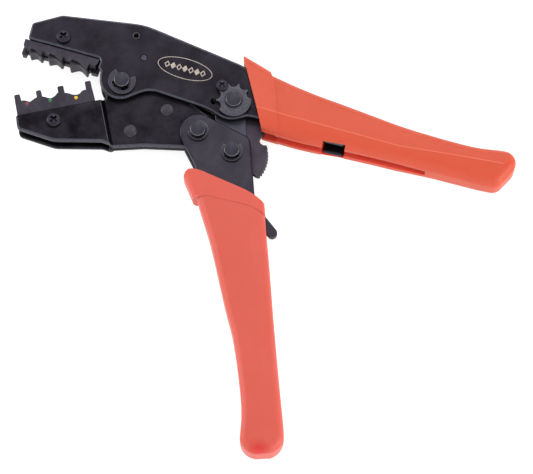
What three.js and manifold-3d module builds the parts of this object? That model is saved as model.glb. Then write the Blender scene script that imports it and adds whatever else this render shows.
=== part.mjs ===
// Ratchet crimping tool for insulated terminals, with exchangeable dies.
// Units are millimetres, +Z is up, and the tool lies flat on its rear face.
// The origin is on the main pivot's axis, in the plane that the tool rests on.
// +X runs along the fixed handle. Each group below is drawn about the middle
// plane of the tool's thickness, and only the outermost group lifts it to MID.
import * as THREE from 'three';
import { mergeVertices } from 'three/addons/utils/BufferGeometryUtils.js';
import Module from 'manifold-3d';

const wasm = await Module();
wasm.setup();

// ---------------------------------------------------------------- dimensions
const MID = 9;                     // height of the middle plane above the resting plane

const LINK_PIVOT = [50, 5.2];      // adjuster pin in the frame, from the main pivot
const JAW_PIN = [39, -12.6];       // jaw to moving handle, tool open
const TOGGLE_PIN = [56, -17.6];    // moving handle to toggle link, tool open
const JAW_OPEN = 28;               // degrees the lower jaw stands open
const HANDLE_REST = -62.5;         // direction of the open moving handle, degrees

const PLATE_IN = 3.1;              // frame and handle plates: inner and outer face
const PLATE_OUT = 6.1;
const JAW_IN = 0.05;               // jaw plates where they are riveted together
const JAW_OUT = 2.95;
const CHEEK_IN = 3.15;             // jaw plates where they hold the die
const CHEEK_OUT = 6.05;
const LINK_IN = 1.55;
const LINK_OUT = 2.95;
const SECTOR_HALF = 1.5;           // ratchet sector and pawl, half thickness
const FLANGE_HALF = 3.0;           // die flanges, half thickness
const DIE_HALF = 4.8;              // die blocks, half thickness
const WHEEL_TOP = 7.95;

const PIN_R = 3.1;                 // main, jaw and toggle pins
const HOLE_R = 3.2;
const GROOVE_R = 2.5;
const CLIP_T = 0.7;
const CLIP_Z = 6.45;               // near face of every retaining clip
const CLIP_OPENING = 75;           // direction in which the clips open, degrees
const PIN_FRONT = 8.5;
const JOURNAL_R = 2.4;             // adjuster pin where it runs in the link
const DIE_SCREW_HOLE_R = 2.1;
const SPACER_NECK_R = 2.5;

const GRIP_HALF = 8.2;             // sleeves, half thickness along the handles
const COLLAR_HALF = 9;             // sleeves, half thickness at the collars
const EDGE_R = 3.4;                // rounding of the sleeves' long edges
const SLOT_HALF = 3;               // slot in the inner side of each sleeve
const CAVITY_HALF = 6.25;
const CLEAR = 0.2;                 // plates inside the sleeves

// ------------------------------------------------------------------ materials
const steel = (color, roughness) =>
  new THREE.MeshStandardMaterial({ color, roughness, metalness: 0.8 });
const MATERIALS = {
  blackSteel: steel(0x2c2a31, 0.5),
  handleSteel: steel(0x45424b, 0.5),
  dieSteel: steel(0x3f3b40, 0.6),
  pinSteel: steel(0x4c4d55, 0.4),
  springSteel: steel(0x8d8f94, 0.35),
  coralVinyl: new THREE.MeshStandardMaterial({ color: 0xe5684f, roughness: 0.55, metalness: 0 }),
};

// ------------------------------------------------------------ outline helpers
const rad = THREE.MathUtils.degToRad;
const vec = (x, y) => new THREE.Vector2(x, y);
const polar = (r, angle, cx = 0, cy = 0) =>
  vec(cx + r * Math.cos(rad(angle)), cy + r * Math.sin(rad(angle)));

function arc(cx, cy, r, from, to, steps) {
  const points = [];
  for (let i = 0; i <= steps; i += 1) {
    points.push(polar(r, from + (to - from) * i / steps, cx, cy));
  }
  return points;
}

const circle = (cx, cy, r, steps = 28) => arc(cx, cy, r, 0, 360, steps).slice(0, -1);

// Corners are [x, y, fillet radius]. Each fillet becomes an arc of short steps.
function filleted(corners, step = 20) {
  const points = [];
  corners.forEach(([x, y, r = 0], i) => {
    const before = corners[(i + corners.length - 1) % corners.length];
    const after = corners[(i + 1) % corners.length];
    const corner = vec(x, y);
    if (r === 0) {
      points.push(corner);
      return;
    }
    const u = vec(before[0] - x, before[1] - y).normalize();
    const v = vec(after[0] - x, after[1] - y).normalize();
    const half = Math.acos(THREE.MathUtils.clamp(u.dot(v), -1, 1)) / 2;
    const centre = u.clone().add(v).normalize().multiplyScalar(r / Math.sin(half)).add(corner);
    const start = u.clone().multiplyScalar(r / Math.tan(half)).add(corner).sub(centre);
    const end = v.clone().multiplyScalar(r / Math.tan(half)).add(corner).sub(centre);
    const sweep = Math.atan2(start.cross(end), start.dot(end));
    const steps = Math.max(2, Math.ceil(Math.abs(sweep) / rad(step)));
    for (let k = 0; k <= steps; k += 1) {
      points.push(start.clone().rotateAround(vec(0, 0), sweep * k / steps).add(centre));
    }
  });
  return points;
}

// A smooth edge through a few points, without its last point.
function smooth(points, steps) {
  const curve = new THREE.SplineCurve(points.map(([x, y]) => vec(x, y)));
  return curve.getPoints(steps).slice(0, -1);
}

// The two circles' common outline, as a belt around them would lie.
function belt(ax, ay, ar, bx, by, br) {
  const angle = THREE.MathUtils.radToDeg(Math.atan2(by - ay, bx - ax));
  const lean = THREE.MathUtils.radToDeg(Math.acos((ar - br) / Math.hypot(bx - ax, by - ay)));
  return [
    ...arc(ax, ay, ar, angle + lean, angle + 360 - lean, 14),
    ...arc(bx, by, br, angle - lean, angle + lean, 14),
  ];
}

// -------------------------------------------------------------- solid helpers
function extrude(outline, z0, z1, holes = []) {
  const shape = new THREE.Shape(outline);
  shape.holes = holes.map((hole) => new THREE.Path(hole));
  const geometry = new THREE.ExtrudeGeometry(shape, { depth: z1 - z0, bevelEnabled: false });
  return geometry.translate(0, 0, z0);
}

// A slab with its edges rounded inside the outline.
function softSlab(outline, half, radius) {
  const geometry = new THREE.ExtrudeGeometry(new THREE.Shape(outline), {
    depth: 2 * (half - radius),
    bevelThickness: radius,
    bevelSize: radius,
    bevelOffset: -radius,
    bevelSegments: 4,
  });
  return geometry.translate(0, 0, radius - half);
}

// A turned piece about Z from [radius, height] pairs that start and end on the axis.
function turned(profile, x = 0, y = 0, steps = 28) {
  const points = profile.map(([r, z]) => vec(r, z));
  return new THREE.LatheGeometry(points, steps).rotateX(Math.PI / 2).translate(x, y, 0);
}

const box = (x0, x1, y0, y1, z0, z1) =>
  new THREE.BoxGeometry(x1 - x0, y1 - y0, z1 - z0)
    .translate((x0 + x1) / 2, (y0 + y1) / 2, (z0 + z1) / 2);

function toSolid(geometry) {
  const bare = geometry.clone();
  bare.deleteAttribute('normal');
  bare.deleteAttribute('uv');
  const merged = mergeVertices(bare, 1e-4);
  return new wasm.Manifold(new wasm.Mesh({
    numProp: 3,
    vertProperties: new Float32Array(merged.attributes.position.array),
    triVerts: new Uint32Array(merged.index.array),
  }));
}

function toGeometry(solid) {
  const mesh = solid.getMesh();
  const geometry = new THREE.BufferGeometry();
  geometry.setAttribute('position', new THREE.BufferAttribute(mesh.vertProperties, 3));
  geometry.setIndex(new THREE.BufferAttribute(mesh.triVerts, 1));
  return geometry;
}

function joined(...geometries) {
  return toGeometry(geometries.map(toSolid).reduce((all, next) => all.add(next)));
}

function cut(geometry, ...tools) {
  return toGeometry(tools.map(toSolid).reduce((left, tool) => left.subtract(tool), toSolid(geometry)));
}

// The same piece on the other side of the middle plane.
const mirrored = (geometry) => toGeometry(toSolid(geometry).mirror([0, 0, 1]));

// A plain cylinder along Z, for pins and for the holes cut through solids.
const drill = ([x, y], r, z0 = -10, z1 = 10, steps = 20) =>
  turned([[0, z0], [r, z0], [r, z1], [0, z1]], x, y, steps);

function add(group, name, geometry, material) {
  const mesh = new THREE.Mesh(geometry, material);
  mesh.name = name;
  group.add(mesh);
}

// --------------------------------------------------------------- common parts
// A plain pin with chamfered ends and a groove near each end for its clips.
function groovedPin(x, y, zRear, zFront) {
  const chamfer = 0.5;
  const near = CLIP_Z - 0.1;
  const far = CLIP_Z + CLIP_T + 0.1;
  return turned([
    [0, zRear], [PIN_R - chamfer, zRear], [PIN_R, zRear + chamfer],
    [PIN_R, -far], [GROOVE_R, -far], [GROOVE_R, -near], [PIN_R, -near],
    [PIN_R, near], [GROOVE_R, near], [GROOVE_R, far], [PIN_R, far],
    [PIN_R, zFront - chamfer], [PIN_R - chamfer, zFront], [0, zFront],
  ], x, y);
}

// An E-shaped retaining clip: an open ring with three lugs that reach the groove.
// It opens towards the given direction, on the front (side 1) or the rear (side -1).
function retainingClip(x, y, outer, opening, side) {
  const gap = 38;
  const ring = outer - 1.9;
  const lug = GROOVE_R + 0.1;
  const lugSpan = 24;
  const inner = [];
  for (let i = 0; i <= 26; i += 1) {
    const angle = 360 - gap - (360 - 2 * gap) * i / 26;
    const fromEnd = Math.min(angle - gap, 360 - gap - angle);
    const isLug = fromEnd < lugSpan || Math.abs(angle - 180) < lugSpan;
    inner.push(polar(isLug ? lug : ring, angle));
  }
  const outline = [...arc(0, 0, outer, gap, 360 - gap, 20), ...inner];
  const z = side > 0 ? CLIP_Z : -CLIP_Z - CLIP_T;
  return extrude(outline, 0, CLIP_T).rotateZ(rad(opening)).translate(x, y, z);
}

// A pan-head screw with a cross recess in its head.
function crossScrew(x, y, headR, headZ, headH, shankR, shankEnd) {
  const head = turned([
    [0, shankEnd], [shankR, shankEnd], [shankR, headZ], [headR, headZ],
    [headR, headZ + 0.45 * headH], [0.72 * headR, headZ + 0.92 * headH], [0, headZ + headH],
  ]);
  const arm = 0.62 * headR;
  const slit = 0.17 * headR;
  const floor = headZ + 0.35 * headH;
  const top = headZ + headH + 1;
  return cut(head, box(-arm, arm, -slit, slit, floor, top), box(-slit, slit, -arm, arm, floor, top))
    .rotateZ(rad(20)).translate(x, y, 0);
}

// A wire spring along the line from a to b, with a round hook about each point.
// hooks holds each hook's radius and whether its plane stands along Z.
function hookedSpring(a, b, coilR, wireR, turns, hooks) {
  const along = new THREE.Vector3(b.x - a.x, b.y - a.y, 0);
  const length = along.length();
  along.normalize();
  const across = new THREE.Vector3(-along.y, along.x, 0);
  const at = (s, side, rise) => new THREE.Vector3(a.x, a.y, rise)
    .addScaledVector(along, s).addScaledVector(across, side);
  const points = [];
  const hookPoint = (centre, facing, { r, standing }, angle) => {
    const s = centre + facing * r * Math.cos(rad(angle));
    const off = r * Math.sin(rad(angle));
    points.push(standing ? at(s, 0, off) : at(s, off, 0));
  };
  const hookSteps = 8;
  const coilSteps = 8;
  for (let i = 0; i <= hookSteps; i += 1) {
    hookPoint(0, 1, hooks[0], 60 + 240 * i / hookSteps);
  }
  const start = hooks[0].r + 3 * wireR;
  const end = length - hooks[1].r - 3 * wireR;
  for (let i = 0; i <= turns * coilSteps; i += 1) {
    const angle = Math.PI + 2 * Math.PI * i / coilSteps;
    const s = start + (end - start) * i / (turns * coilSteps);
    points.push(at(s, coilR * Math.cos(angle), coilR * Math.sin(angle)));
  }
  for (let i = 0; i <= hookSteps; i += 1) {
    hookPoint(length, -1, hooks[1], 300 - 240 * i / hookSteps);
  }
  return new THREE.ExtrudeGeometry(new THREE.Shape(circle(0, 0, wireR, 6)), {
    steps: points.length * 2,
    bevelEnabled: false,
    extrudePath: new THREE.CatmullRomCurve3(points, false, 'centripetal'),
  });
}

// The cross-head screw that holds a die between two plates with this outer face.
const dieScrew = ([x, y], face) => crossScrew(x, y, 3.2, face + 0.05, 2, 2, -PLATE_OUT);

// A rivet with a low chamfered head on each side of the middle plane.
function rivet([x, y], shankR, headR, seat, headH) {
  const half = [[shankR, seat], [headR, seat], [headR, seat + 0.4 * headH],
    [0.75 * headR, seat + headH], [0, seat + headH]];
  return turned([...half.map(([r, z]) => [r, -z]).reverse(), ...half], x, y, 24);
}

// A shouldered spacer: its necks sit in the plates, its body holds them apart.
function spacer([x, y]) {
  const shoulder = PLATE_IN - 0.05;
  return turned([
    [0, -PLATE_OUT], [SPACER_NECK_R, -PLATE_OUT], [SPACER_NECK_R, -shoulder], [4, -shoulder],
    [4, shoulder], [SPACER_NECK_R, shoulder], [SPACER_NECK_R, PLATE_OUT], [0, PLATE_OUT],
  ], x, y, 20);
}

// A moulded sleeve: a rounded grip with a thicker collar, cut off along its
// mouth, hollow for the two plates and opened by slots and windows.
function sleeve(grip, collar, mouth, cavity, openings) {
  return cut(
    joined(softSlab(grip, GRIP_HALF, EDGE_R), softSlab(collar, COLLAR_HALF, EDGE_R)),
    extrude(mouth, -2 * COLLAR_HALF, 2 * COLLAR_HALF),
    extrude(cavity, -CAVITY_HALF, CAVITY_HALF),
    ...openings,
  );
}

const tool = new THREE.Group();
tool.position.z = MID;

// ================================================================ fixed frame
const frame = new THREE.Group();
tool.add(frame);

const DIE_SCREW_TOP = [-31.4, 13];
const ANCHOR = [5.9, 13.6];        // return spring's anchor pin
const LOCK_SCREW = [43.2, 10.1];
const SPARE_LOCK = [41.6, 2.6];
const FRAME_SPACERS = [[80, 9.4], [148, 7.8]];
const TAB = [93.2, 102.4];         // lower tabs that key the sleeve, along X

// The part of each frame plate inside the sleeve: lower edge, then upper edge.
const TANG_LOW = [[56.5, 0.4], [TAB[0], 1], [TAB[1], 1.2], [160, 3.6]];
const TANG_HIGH = [[160, 12], [127, 12.6], [97, 15.2], [66, 18.2], [47.5, 23]];

function framePlate() {
  const outline = filleted([
    [-46.4, 8, 1.2], [-12.3, 8, 0.5], [-12.3, 1.2, 2.5], [-9.2, -1.4, 2], [-8.8, -5.8, 3.5],
    [-4.4, -9.3, 4.5], [2.8, -8.9, 5.5], [10.4, -1.6, 7], [21, -0.4, 12], [40.2, -0.5, 9],
    [45.5, -2.2, 5], [52, -2.2, 5], [...TANG_LOW[0], 6],
    TANG_LOW[1], [TAB[0], -3.4, 0.6], [TAB[1], -3, 1.5], TANG_LOW[2],
    [...TANG_LOW[3], 3], [...TANG_HIGH[0], 3], [...TANG_HIGH[1], 30], [...TANG_HIGH[2], 30],
    [...TANG_HIGH[3], 20], [...TANG_HIGH[4], 9],
    [1.5, 29.1, 30], [-35.2, 23, 4], [-46.9, 15.6, 2],
  ]);
  return extrude(outline, PLATE_IN, PLATE_OUT, [
    circle(0, 0, HOLE_R),
    circle(...LINK_PIVOT, HOLE_R),
    circle(...DIE_SCREW_TOP, DIE_SCREW_HOLE_R, 20),
    circle(...ANCHOR, 1.5, 16),
    circle(...LOCK_SCREW, 1.6, 16),
    circle(...SPARE_LOCK, 1.3, 16),
    circle(-0.6, 22.8, 1, 16),
    ...FRAME_SPACERS.map(([x, y]) => circle(x, y, SPACER_NECK_R + 0.1, 20)),
  ]);
}

add(frame, 'front_frame_plate', framePlate(), MATERIALS.blackSteel);
add(frame, 'rear_frame_plate', mirrored(framePlate()), MATERIALS.blackSteel);

// The upper die's lobes are [left, right, height of the tips, height of the arch].
const LOBES = [[-44.4, -38.4, 2.2, 3.3], [-35.6, -28.8, 2, 3.2], [-25.4, -16.9, 1.5, 3.3]];

function lobeEdge([left, right, tip, arch], roof) {
  const middle = (left + right) / 2;
  return [
    vec(left, roof), vec(left + 0.1, tip + 0.3),
    ...smooth([[left + 0.7, tip], [middle, arch], [right - 0.7, tip]], 8),
    vec(right - 0.7, tip), vec(right - 0.1, tip + 0.3), vec(right, roof),
  ];
}

function upperDie() {
  const split = -1.2;              // behind it the slots are shallower and end in teeth
  const top = 7.8;
  const front = [
    vec(-47.7, top), vec(-47.6, 4.9), vec(-47, 4.3),
    ...LOBES.flatMap((lobe) => lobeEdge(lobe, 4.4)),
    vec(-14, 4.4), vec(-13.4, 5.2), vec(-12.9, top),
  ];
  const rear = [
    vec(-48.5, top), vec(-48.5, 3), vec(-48, 2.4), vec(-46.4, 2.4), vec(-46.1, 4.3),
    ...LOBES.flatMap((lobe) => lobeEdge(lobe, 3.7)),
    vec(-16.3, 3.7), vec(-15.9, 2.9), vec(-13.2, 2.9), vec(-12.9, 3.4), vec(-12.9, top),
  ];
  const flange = filleted([
    [-45.6, 6.5], [-13.4, 6.5], [-13.8, 15.2, 1.5], [-21, 19.4, 3], [-38.8, 19.4, 3],
    [-45.6, 14.5, 2],
  ]);
  const body = joined(
    extrude(front, split, DIE_HALF),
    extrude(rear, -DIE_HALF, split),
    extrude(flange, -FLANGE_HALF, FLANGE_HALF),
  );
  return cut(body, drill(DIE_SCREW_TOP, DIE_SCREW_HOLE_R));
}

add(frame, 'upper_die', upperDie(), MATERIALS.dieSteel);
add(frame, 'upper_die_screw', dieScrew(DIE_SCREW_TOP, PLATE_OUT), MATERIALS.pinSteel);

add(frame, 'main_pivot_pin', groovedPin(0, 0, -MID, PIN_FRONT), MATERIALS.pinSteel);
add(frame, 'main_pin_front_clip', retainingClip(0, 0, 6.15, CLIP_OPENING, 1), MATERIALS.pinSteel);
add(frame, 'main_pin_rear_clip', retainingClip(0, 0, 6.15, CLIP_OPENING, -1), MATERIALS.pinSteel);
add(frame, 'spring_anchor_pin', drill(ANCHOR, 1.4, -PLATE_OUT, PLATE_OUT + 0.3, 16),
  MATERIALS.pinSteel);
FRAME_SPACERS.forEach((at, i) => {
  add(frame, `frame_spacer_${i + 1}`, spacer(at), MATERIALS.pinSteel);
});

// The adjuster: the pin that carries the toggle link, its star wheel and its lock.
function adjusterPin() {
  const head = WHEEL_TOP + 0.1;
  return turned([
    [0, -8.5], [PIN_R - 0.5, -8.5], [PIN_R, -8], [PIN_R, -CLIP_Z - CLIP_T - 0.1],
    [GROOVE_R, -CLIP_Z - CLIP_T - 0.1], [GROOVE_R, -CLIP_Z + 0.1], [PIN_R, -CLIP_Z + 0.1],
    [PIN_R, -PLATE_IN], [JOURNAL_R, -PLATE_IN], [JOURNAL_R, PLATE_IN], [PIN_R, PLATE_IN],
    [PIN_R, head], [3.5, head], [3.5, head + 0.9], [3, head + 1.3], [0, head + 1.3],
  ], ...LINK_PIVOT);
}

function adjustingWheel() {
  const outerR = 7.75;
  const notchAt = 8.5;
  const notchR = 2.1;
  const degrees = THREE.MathUtils.radToDeg;
  const onDisc = degrees(Math.acos(
    (outerR ** 2 + notchAt ** 2 - notchR ** 2) / (2 * outerR * notchAt)));
  const onNotch = degrees(Math.acos(
    (notchAt ** 2 + notchR ** 2 - outerR ** 2) / (2 * notchAt * notchR)));
  const notches = [35.5, 71.5, 107.5, 143.5, 179.5, 215.5];
  const outline = notches.flatMap((angle) => {
    const centre = polar(notchAt, angle);
    const back = angle + 180;
    return arc(centre.x, centre.y, notchR, back + onNotch, back - onNotch, 8);
  });
  const plain = arc(0, 0, outerR, notches[5] + onDisc, notches[0] + 360 - onDisc, 18);
  const wheel = extrude([...outline, ...plain.slice(1, -1)], PLATE_OUT + 0.05, WHEEL_TOP,
    [circle(0, 0, HOLE_R)]);
  return wheel.translate(...LINK_PIVOT, 0);
}

add(frame, 'adjuster_pin', adjusterPin(), MATERIALS.pinSteel);
add(frame, 'adjusting_wheel', adjustingWheel(), MATERIALS.pinSteel);
add(frame, 'adjuster_pin_clip', retainingClip(...LINK_PIVOT, 5, CLIP_OPENING, -1),
  MATERIALS.pinSteel);
add(frame, 'wheel_lock_screw',
  crossScrew(...LOCK_SCREW, 2.6, WHEEL_TOP + 0.1, 1.3, 1.5, PLATE_IN + 0.1), MATERIALS.pinSteel);

function upperGrip() {
  const low = [[58, -4.8], [92, -3.4], [139, -1.1], [167, 0.1]];
  const high = [
    [168.5, 17.2], [158, 15.6], [144.6, 15.2], [127, 15.6], [97.4, 18.2], [75, 20.8], [56, 24],
  ];
  const grip = [
    ...low.map(([x, y]) => vec(x, y)),
    ...arc(168.6, 8.1, 8, -75, 0, 5),
    ...arc(169.9, 10.9, 6.7, 8, 80, 5),
    ...smooth(high, 18),
    vec(56, 24),
  ];
  const collar = filleted([
    [56, -6.6], [67, -6, 20], [74.2, -4.9], [70.8, 5.4, 12], [64, 23.1], [42, 29.9],
  ]);
  const mouth = filleted([[67.4, -7], [47.9, 26.8, 2.2], [49.6, 34], [20, 34], [20, -7]]);
  const cavity = [
    ...TANG_LOW.map(([x, y]) => vec(x, y - CLEAR)),
    ...TANG_HIGH.map(([x, y]) => vec(x, y + CLEAR)),
  ];
  cavity[3].x += CLEAR;
  cavity[4].x += CLEAR;
  const tabs = [TAB[0] - 0.4, TAB[1] + 0.5];
  return sleeve(grip, collar, mouth, cavity, [
    box(50, 139.4, -9, 4, -SLOT_HALF, SLOT_HALF),
    box(...tabs, -9, 3, -CAVITY_HALF, CAVITY_HALF),
    box(...tabs, -9, -1.7, -12, 12),
  ]);
}

add(frame, 'upper_grip', upperGrip(), MATERIALS.coralVinyl);

// ================================================================== lower jaw
// Drawn with the dies closed, so both die seats lie along X, then swung open.
const jaw = new THREE.Group();
jaw.rotation.z = rad(JAW_OPEN);
tool.add(jaw);

const JAW_PIN_CLOSED = vec(...JAW_PIN).rotateAround(vec(0, 0), rad(-JAW_OPEN));
const DIE_SCREW_LOW = [-32.6, -12];
const JAW_RIVETS = [[17.3, -15.8], [-0.6, -22.3]];
const SPRING_POST = [11, -2];
const POCKET_HALF = 1.9;           // room for the return spring between the jaw plates

function jawPlate() {
  const body = extrude(filleted([
    [-9.6, -28.1], [-9.6, -7.4, 1.5], [-8.4, -4.5], [-8.4, 8.4, 8.4], [3.7, 8.4, 8.4],
    [38.98, -29.6, 7.4], [31.3, -37, 6], [4, -30.2, 20],
  ]), JAW_IN, JAW_OUT, [circle(0, 0, HOLE_R), circle(JAW_PIN_CLOSED.x, JAW_PIN_CLOSED.y, HOLE_R)]);
  const cheek = extrude(filleted([
    [-10.4, -6.2, 0.8], [-48.7, -6.2, 1], [-49.1, -12.6, 2.5], [-34.4, -21.2, 10],
    [-14, -25.6, 4], [-10.4, -28.7],
  ]), CHEEK_IN, CHEEK_OUT);
  const joggle = extrude([
    vec(-10.4, CHEEK_OUT), vec(-12.6, CHEEK_OUT), vec(-12.6, CHEEK_IN),
    vec(-11, JAW_IN), vec(-8.8, JAW_IN), vec(-8.8, JAW_OUT),
  ], 7.4, 28).rotateX(Math.PI / 2);
  return cut(
    joined(body, cheek, joggle),
    box(SPRING_POST[0] - 3.6, 20, SPRING_POST[1] - 2.4, 12, -POCKET_HALF, POCKET_HALF),
    drill(DIE_SCREW_LOW, DIE_SCREW_HOLE_R),
    ...JAW_RIVETS.map((at) => drill(at, 1.9)),
    drill(SPRING_POST, 1.1, -9, 9, 16),
  );
}

add(jaw, 'front_jaw_plate', jawPlate(), MATERIALS.blackSteel);
add(jaw, 'rear_jaw_plate', mirrored(jawPlate()), MATERIALS.blackSteel);

// The lower die: three nests along its top, and four posts on its front half only.
const NESTS = [
  [[-44.9, 0.5], [-43.3, 0.2], [-41.6, -0.7], [-39.8, 0.1], [-38.5, 0.7]],
  [[-35.9, 0.7], [-34.6, 0.2], [-32.5, -0.9], [-30.4, -0.3], [-28.9, 1]],
  [[-25.7, 0.4], [-24.1, -0.2], [-21.9, -1.4], [-19.6, -1.4], [-17.9, -0.2], [-16.4, 0]],
];
const POSTS = [[-48, -45.2, 3.7], [-38, -36, 3.8], [-28.4, -26, 3.9], [-15.9, -13.5, 3.8]];

function lowerDie() {
  const postFront = -0.9;
  const floor = [vec(-48, -6), vec(-48, 0.5)];
  NESTS.forEach((nest) => floor.push(...smooth(nest, 8), vec(...nest.at(-1))));
  floor.push(vec(-13.5, 0), vec(-13.2, -4.6), vec(-14, -6));
  const flange = filleted([
    [-46, -5], [-13.3, -5], [-13.3, -17.5, 2], [-18, -21.6, 3], [-31, -19.4, 4], [-46, -12, 3],
  ]);
  const body = joined(
    extrude(floor, -DIE_HALF, DIE_HALF),
    extrude(flange, -FLANGE_HALF, FLANGE_HALF),
    ...POSTS.map(([left, right, top]) => extrude(filleted([
      [left, -2], [right, -2], [right, top, 0.4], [left, top, 0.4],
    ], 45), postFront, DIE_HALF)),
  );
  return cut(body, drill(DIE_SCREW_LOW, DIE_SCREW_HOLE_R));
}

add(jaw, 'lower_die', lowerDie(), MATERIALS.dieSteel);
add(jaw, 'lower_die_screw', dieScrew(DIE_SCREW_LOW, CHEEK_OUT), MATERIALS.pinSteel);
JAW_RIVETS.forEach((at, i) => {
  add(jaw, `jaw_rivet_${i + 1}`, rivet(at, 1.8, 3.05, JAW_OUT + 0.05, 0.9), MATERIALS.pinSteel);
});
add(jaw, 'spring_post', drill(SPRING_POST, 1, -JAW_OUT, JAW_OUT, 16), MATERIALS.pinSteel);

// ============================================================== return spring
const postOpen = vec(...SPRING_POST).rotateAround(vec(0, 0), rad(JAW_OPEN));
add(frame, 'jaw_return_spring',
  hookedSpring(vec(...ANCHOR), postOpen, 1.45, 0.35, 6,
    [{ r: 1.85, standing: false }, { r: 1.45, standing: false }]),
  MATERIALS.springSteel);

// ============================================================== moving handle
// Drawn along X from the jaw pin, then turned to its open direction.
const handle = new THREE.Group();
handle.position.set(...JAW_PIN, 0);
handle.rotation.z = rad(HANDLE_REST);
tool.add(handle);

const TOGGLE = vec(...TOGGLE_PIN).sub(vec(...JAW_PIN)).rotateAround(vec(0, 0), rad(-HANDLE_REST));
const PAWL_PIVOT = [35.6, 12.4];
const PAWL_SPRING_PIN = [54, 8];
const HANDLE_SPACERS = [[66, 8], [112, 5.5]];

// The handle plates inside the sleeve: upper edge outwards, then lower edge back.
const HANDLE_HIGH = [[7.36, 21.8], [33, 18.9], [51, 17.3], [89, 13.4], [125, 9.3]];
const HANDLE_LOW = [[125, 1.2], [95, 0.6], [66, -0.4], [45, -1.6], [30, -3.2], [17, -3.7]];

function handlePlate() {
  const [corner, ...high] = HANDLE_HIGH;
  const outline = filleted([
    [-8.1, -10.65, 8.1], [-8.1, 2.95, 8.1], [...corner, 4],
    ...high.slice(0, -1), [...high.at(-1), 3], [...HANDLE_LOW[0], 3], ...HANDLE_LOW.slice(1),
  ]);
  return extrude(outline, PLATE_IN, PLATE_OUT, [
    circle(0, 0, HOLE_R),
    circle(TOGGLE.x, TOGGLE.y, HOLE_R),
    circle(...PAWL_PIVOT, 2, 20),
    circle(...PAWL_SPRING_PIN, 1.1, 16),
    ...HANDLE_SPACERS.map(([x, y]) => circle(x, y, SPACER_NECK_R + 0.1, 20)),
  ]);
}

add(handle, 'front_handle_plate', handlePlate(), MATERIALS.handleSteel);
add(handle, 'rear_handle_plate', mirrored(handlePlate()), MATERIALS.handleSteel);

const HANDLE_PINS = [['jaw_pin', 0, 0, 4.65], ['toggle_pin', TOGGLE.x, TOGGLE.y, 4.8]];
HANDLE_PINS.forEach(([name, x, y, clipR]) => {
  const opening = CLIP_OPENING - HANDLE_REST;
  add(handle, name, groovedPin(x, y, -PIN_FRONT, PIN_FRONT), MATERIALS.pinSteel);
  add(handle, `${name}_front_clip`, retainingClip(x, y, clipR, opening, 1), MATERIALS.pinSteel);
  add(handle, `${name}_rear_clip`, retainingClip(x, y, clipR, opening, -1), MATERIALS.pinSteel);
});
add(handle, 'pawl_pin', drill(PAWL_PIVOT, 1.9, -PLATE_OUT, PLATE_OUT), MATERIALS.pinSteel);
add(handle, 'pawl_spring_pin', drill(PAWL_SPRING_PIN, 1, -PLATE_OUT, PLATE_OUT, 16),
  MATERIALS.pinSteel);
HANDLE_SPACERS.forEach((at, i) => {
  add(handle, `handle_spacer_${i + 1}`, spacer(at), MATERIALS.pinSteel);
});

function lowerGrip() {
  const right = [
    [137, 11.4], [125.4, 12.5], [106.6, 14.4], [89.3, 16.3], [66.4, 19], [51.1, 20.6], [34, 22.7],
  ];
  const left = [
    [26, -6.3], [49.6, -4], [65.7, -3.4], [81, -3], [92.8, -2.3], [107, -2.8], [122.2, -4.1],
    [131, -5.6], [138, -7.2],
  ];
  const grip = [
    ...arc(139.6, 3, 8, 75, 5, 5),
    ...arc(140, -0.9, 7.4, 0, -80, 5),
    ...smooth(left.toReversed(), 18),
    vec(...left[0]),
    ...right.toReversed().map(([x, y]) => vec(x, y)),
  ];
  const collar = filleted([
    [8, -12.6], [31.6, -7.3], [33, -0.6, 8], [36.2, 5.6, 20], [44.9, 22.8], [30, 26],
  ]);
  const mouth = filleted([
    [0, -16], [16.6, -16], [16.4, -6.9, 2], [38.6, 24.2], [38.6, 40], [0, 40],
  ]);
  const cavity = [
    ...HANDLE_HIGH.map(([x, y]) => vec(x, y + CLEAR)),
    ...HANDLE_LOW.map(([x, y]) => vec(x, y - CLEAR)),
    vec(8, -4.4),
  ];
  cavity[4].x += CLEAR;
  cavity[5].x += CLEAR;
  return sleeve(grip, collar, mouth, cavity, [box(20, 108, 10, 30, -SLOT_HALF, SLOT_HALF)]);
}

add(handle, 'lower_grip', lowerGrip(), MATERIALS.coralVinyl);

// ====================================================================== pawl
const pawl = new THREE.Group();
pawl.position.set(...PAWL_PIVOT, 0);
handle.add(pawl);

const PAWL_EYE = [4.9, -2.9];      // spring hole, from the pawl's pivot
const EYE_HOOK_R = 2.1;

function pawlBody() {
  const blade = filleted([
    [-7.2, 1.7, 0.2], [-3.2, 0.2], [-3.2, -3.4, 3.2], [3, -5.6, 1.5], [7.2, -5.2, 2],
    [7.4, 0.6, 3], [9, 5.1, 5], [18.2, 9.95, 2.1], [16.25, 13.8, 2.1], [-1.6, 4.8, 12],
  ]);
  return cut(
    joined(extrude(blade, -SECTOR_HALF, SECTOR_HALF), drill([0, 0], 3.4, -LINK_OUT, LINK_OUT)),
    drill([0, 0], 2),
    drill(PAWL_EYE, 1.1, -9, 9, 16),
  );
}

add(pawl, 'ratchet_pawl', pawlBody(), MATERIALS.handleSteel);

const eye = vec(...PAWL_EYE).add(vec(...PAWL_PIVOT));
const eyeHook = vec(...PAWL_SPRING_PIN).sub(eye).setLength(EYE_HOOK_R).add(eye);
add(handle, 'pawl_spring',
  hookedSpring(eyeHook, vec(...PAWL_SPRING_PIN), 1.25, 0.3, 8,
    [{ r: EYE_HOOK_R, standing: true }, { r: 1.4, standing: false }]),
  MATERIALS.springSteel);

// =============================================================== toggle link
// Drawn along X from the toggle pin to the adjuster pin, then turned to stand.
const link = new THREE.Group();
link.position.set(...TOGGLE_PIN, 0);
link.rotation.z = Math.atan2(LINK_PIVOT[1] - TOGGLE_PIN[1], LINK_PIVOT[0] - TOGGLE_PIN[0]);
tool.add(link);

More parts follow.
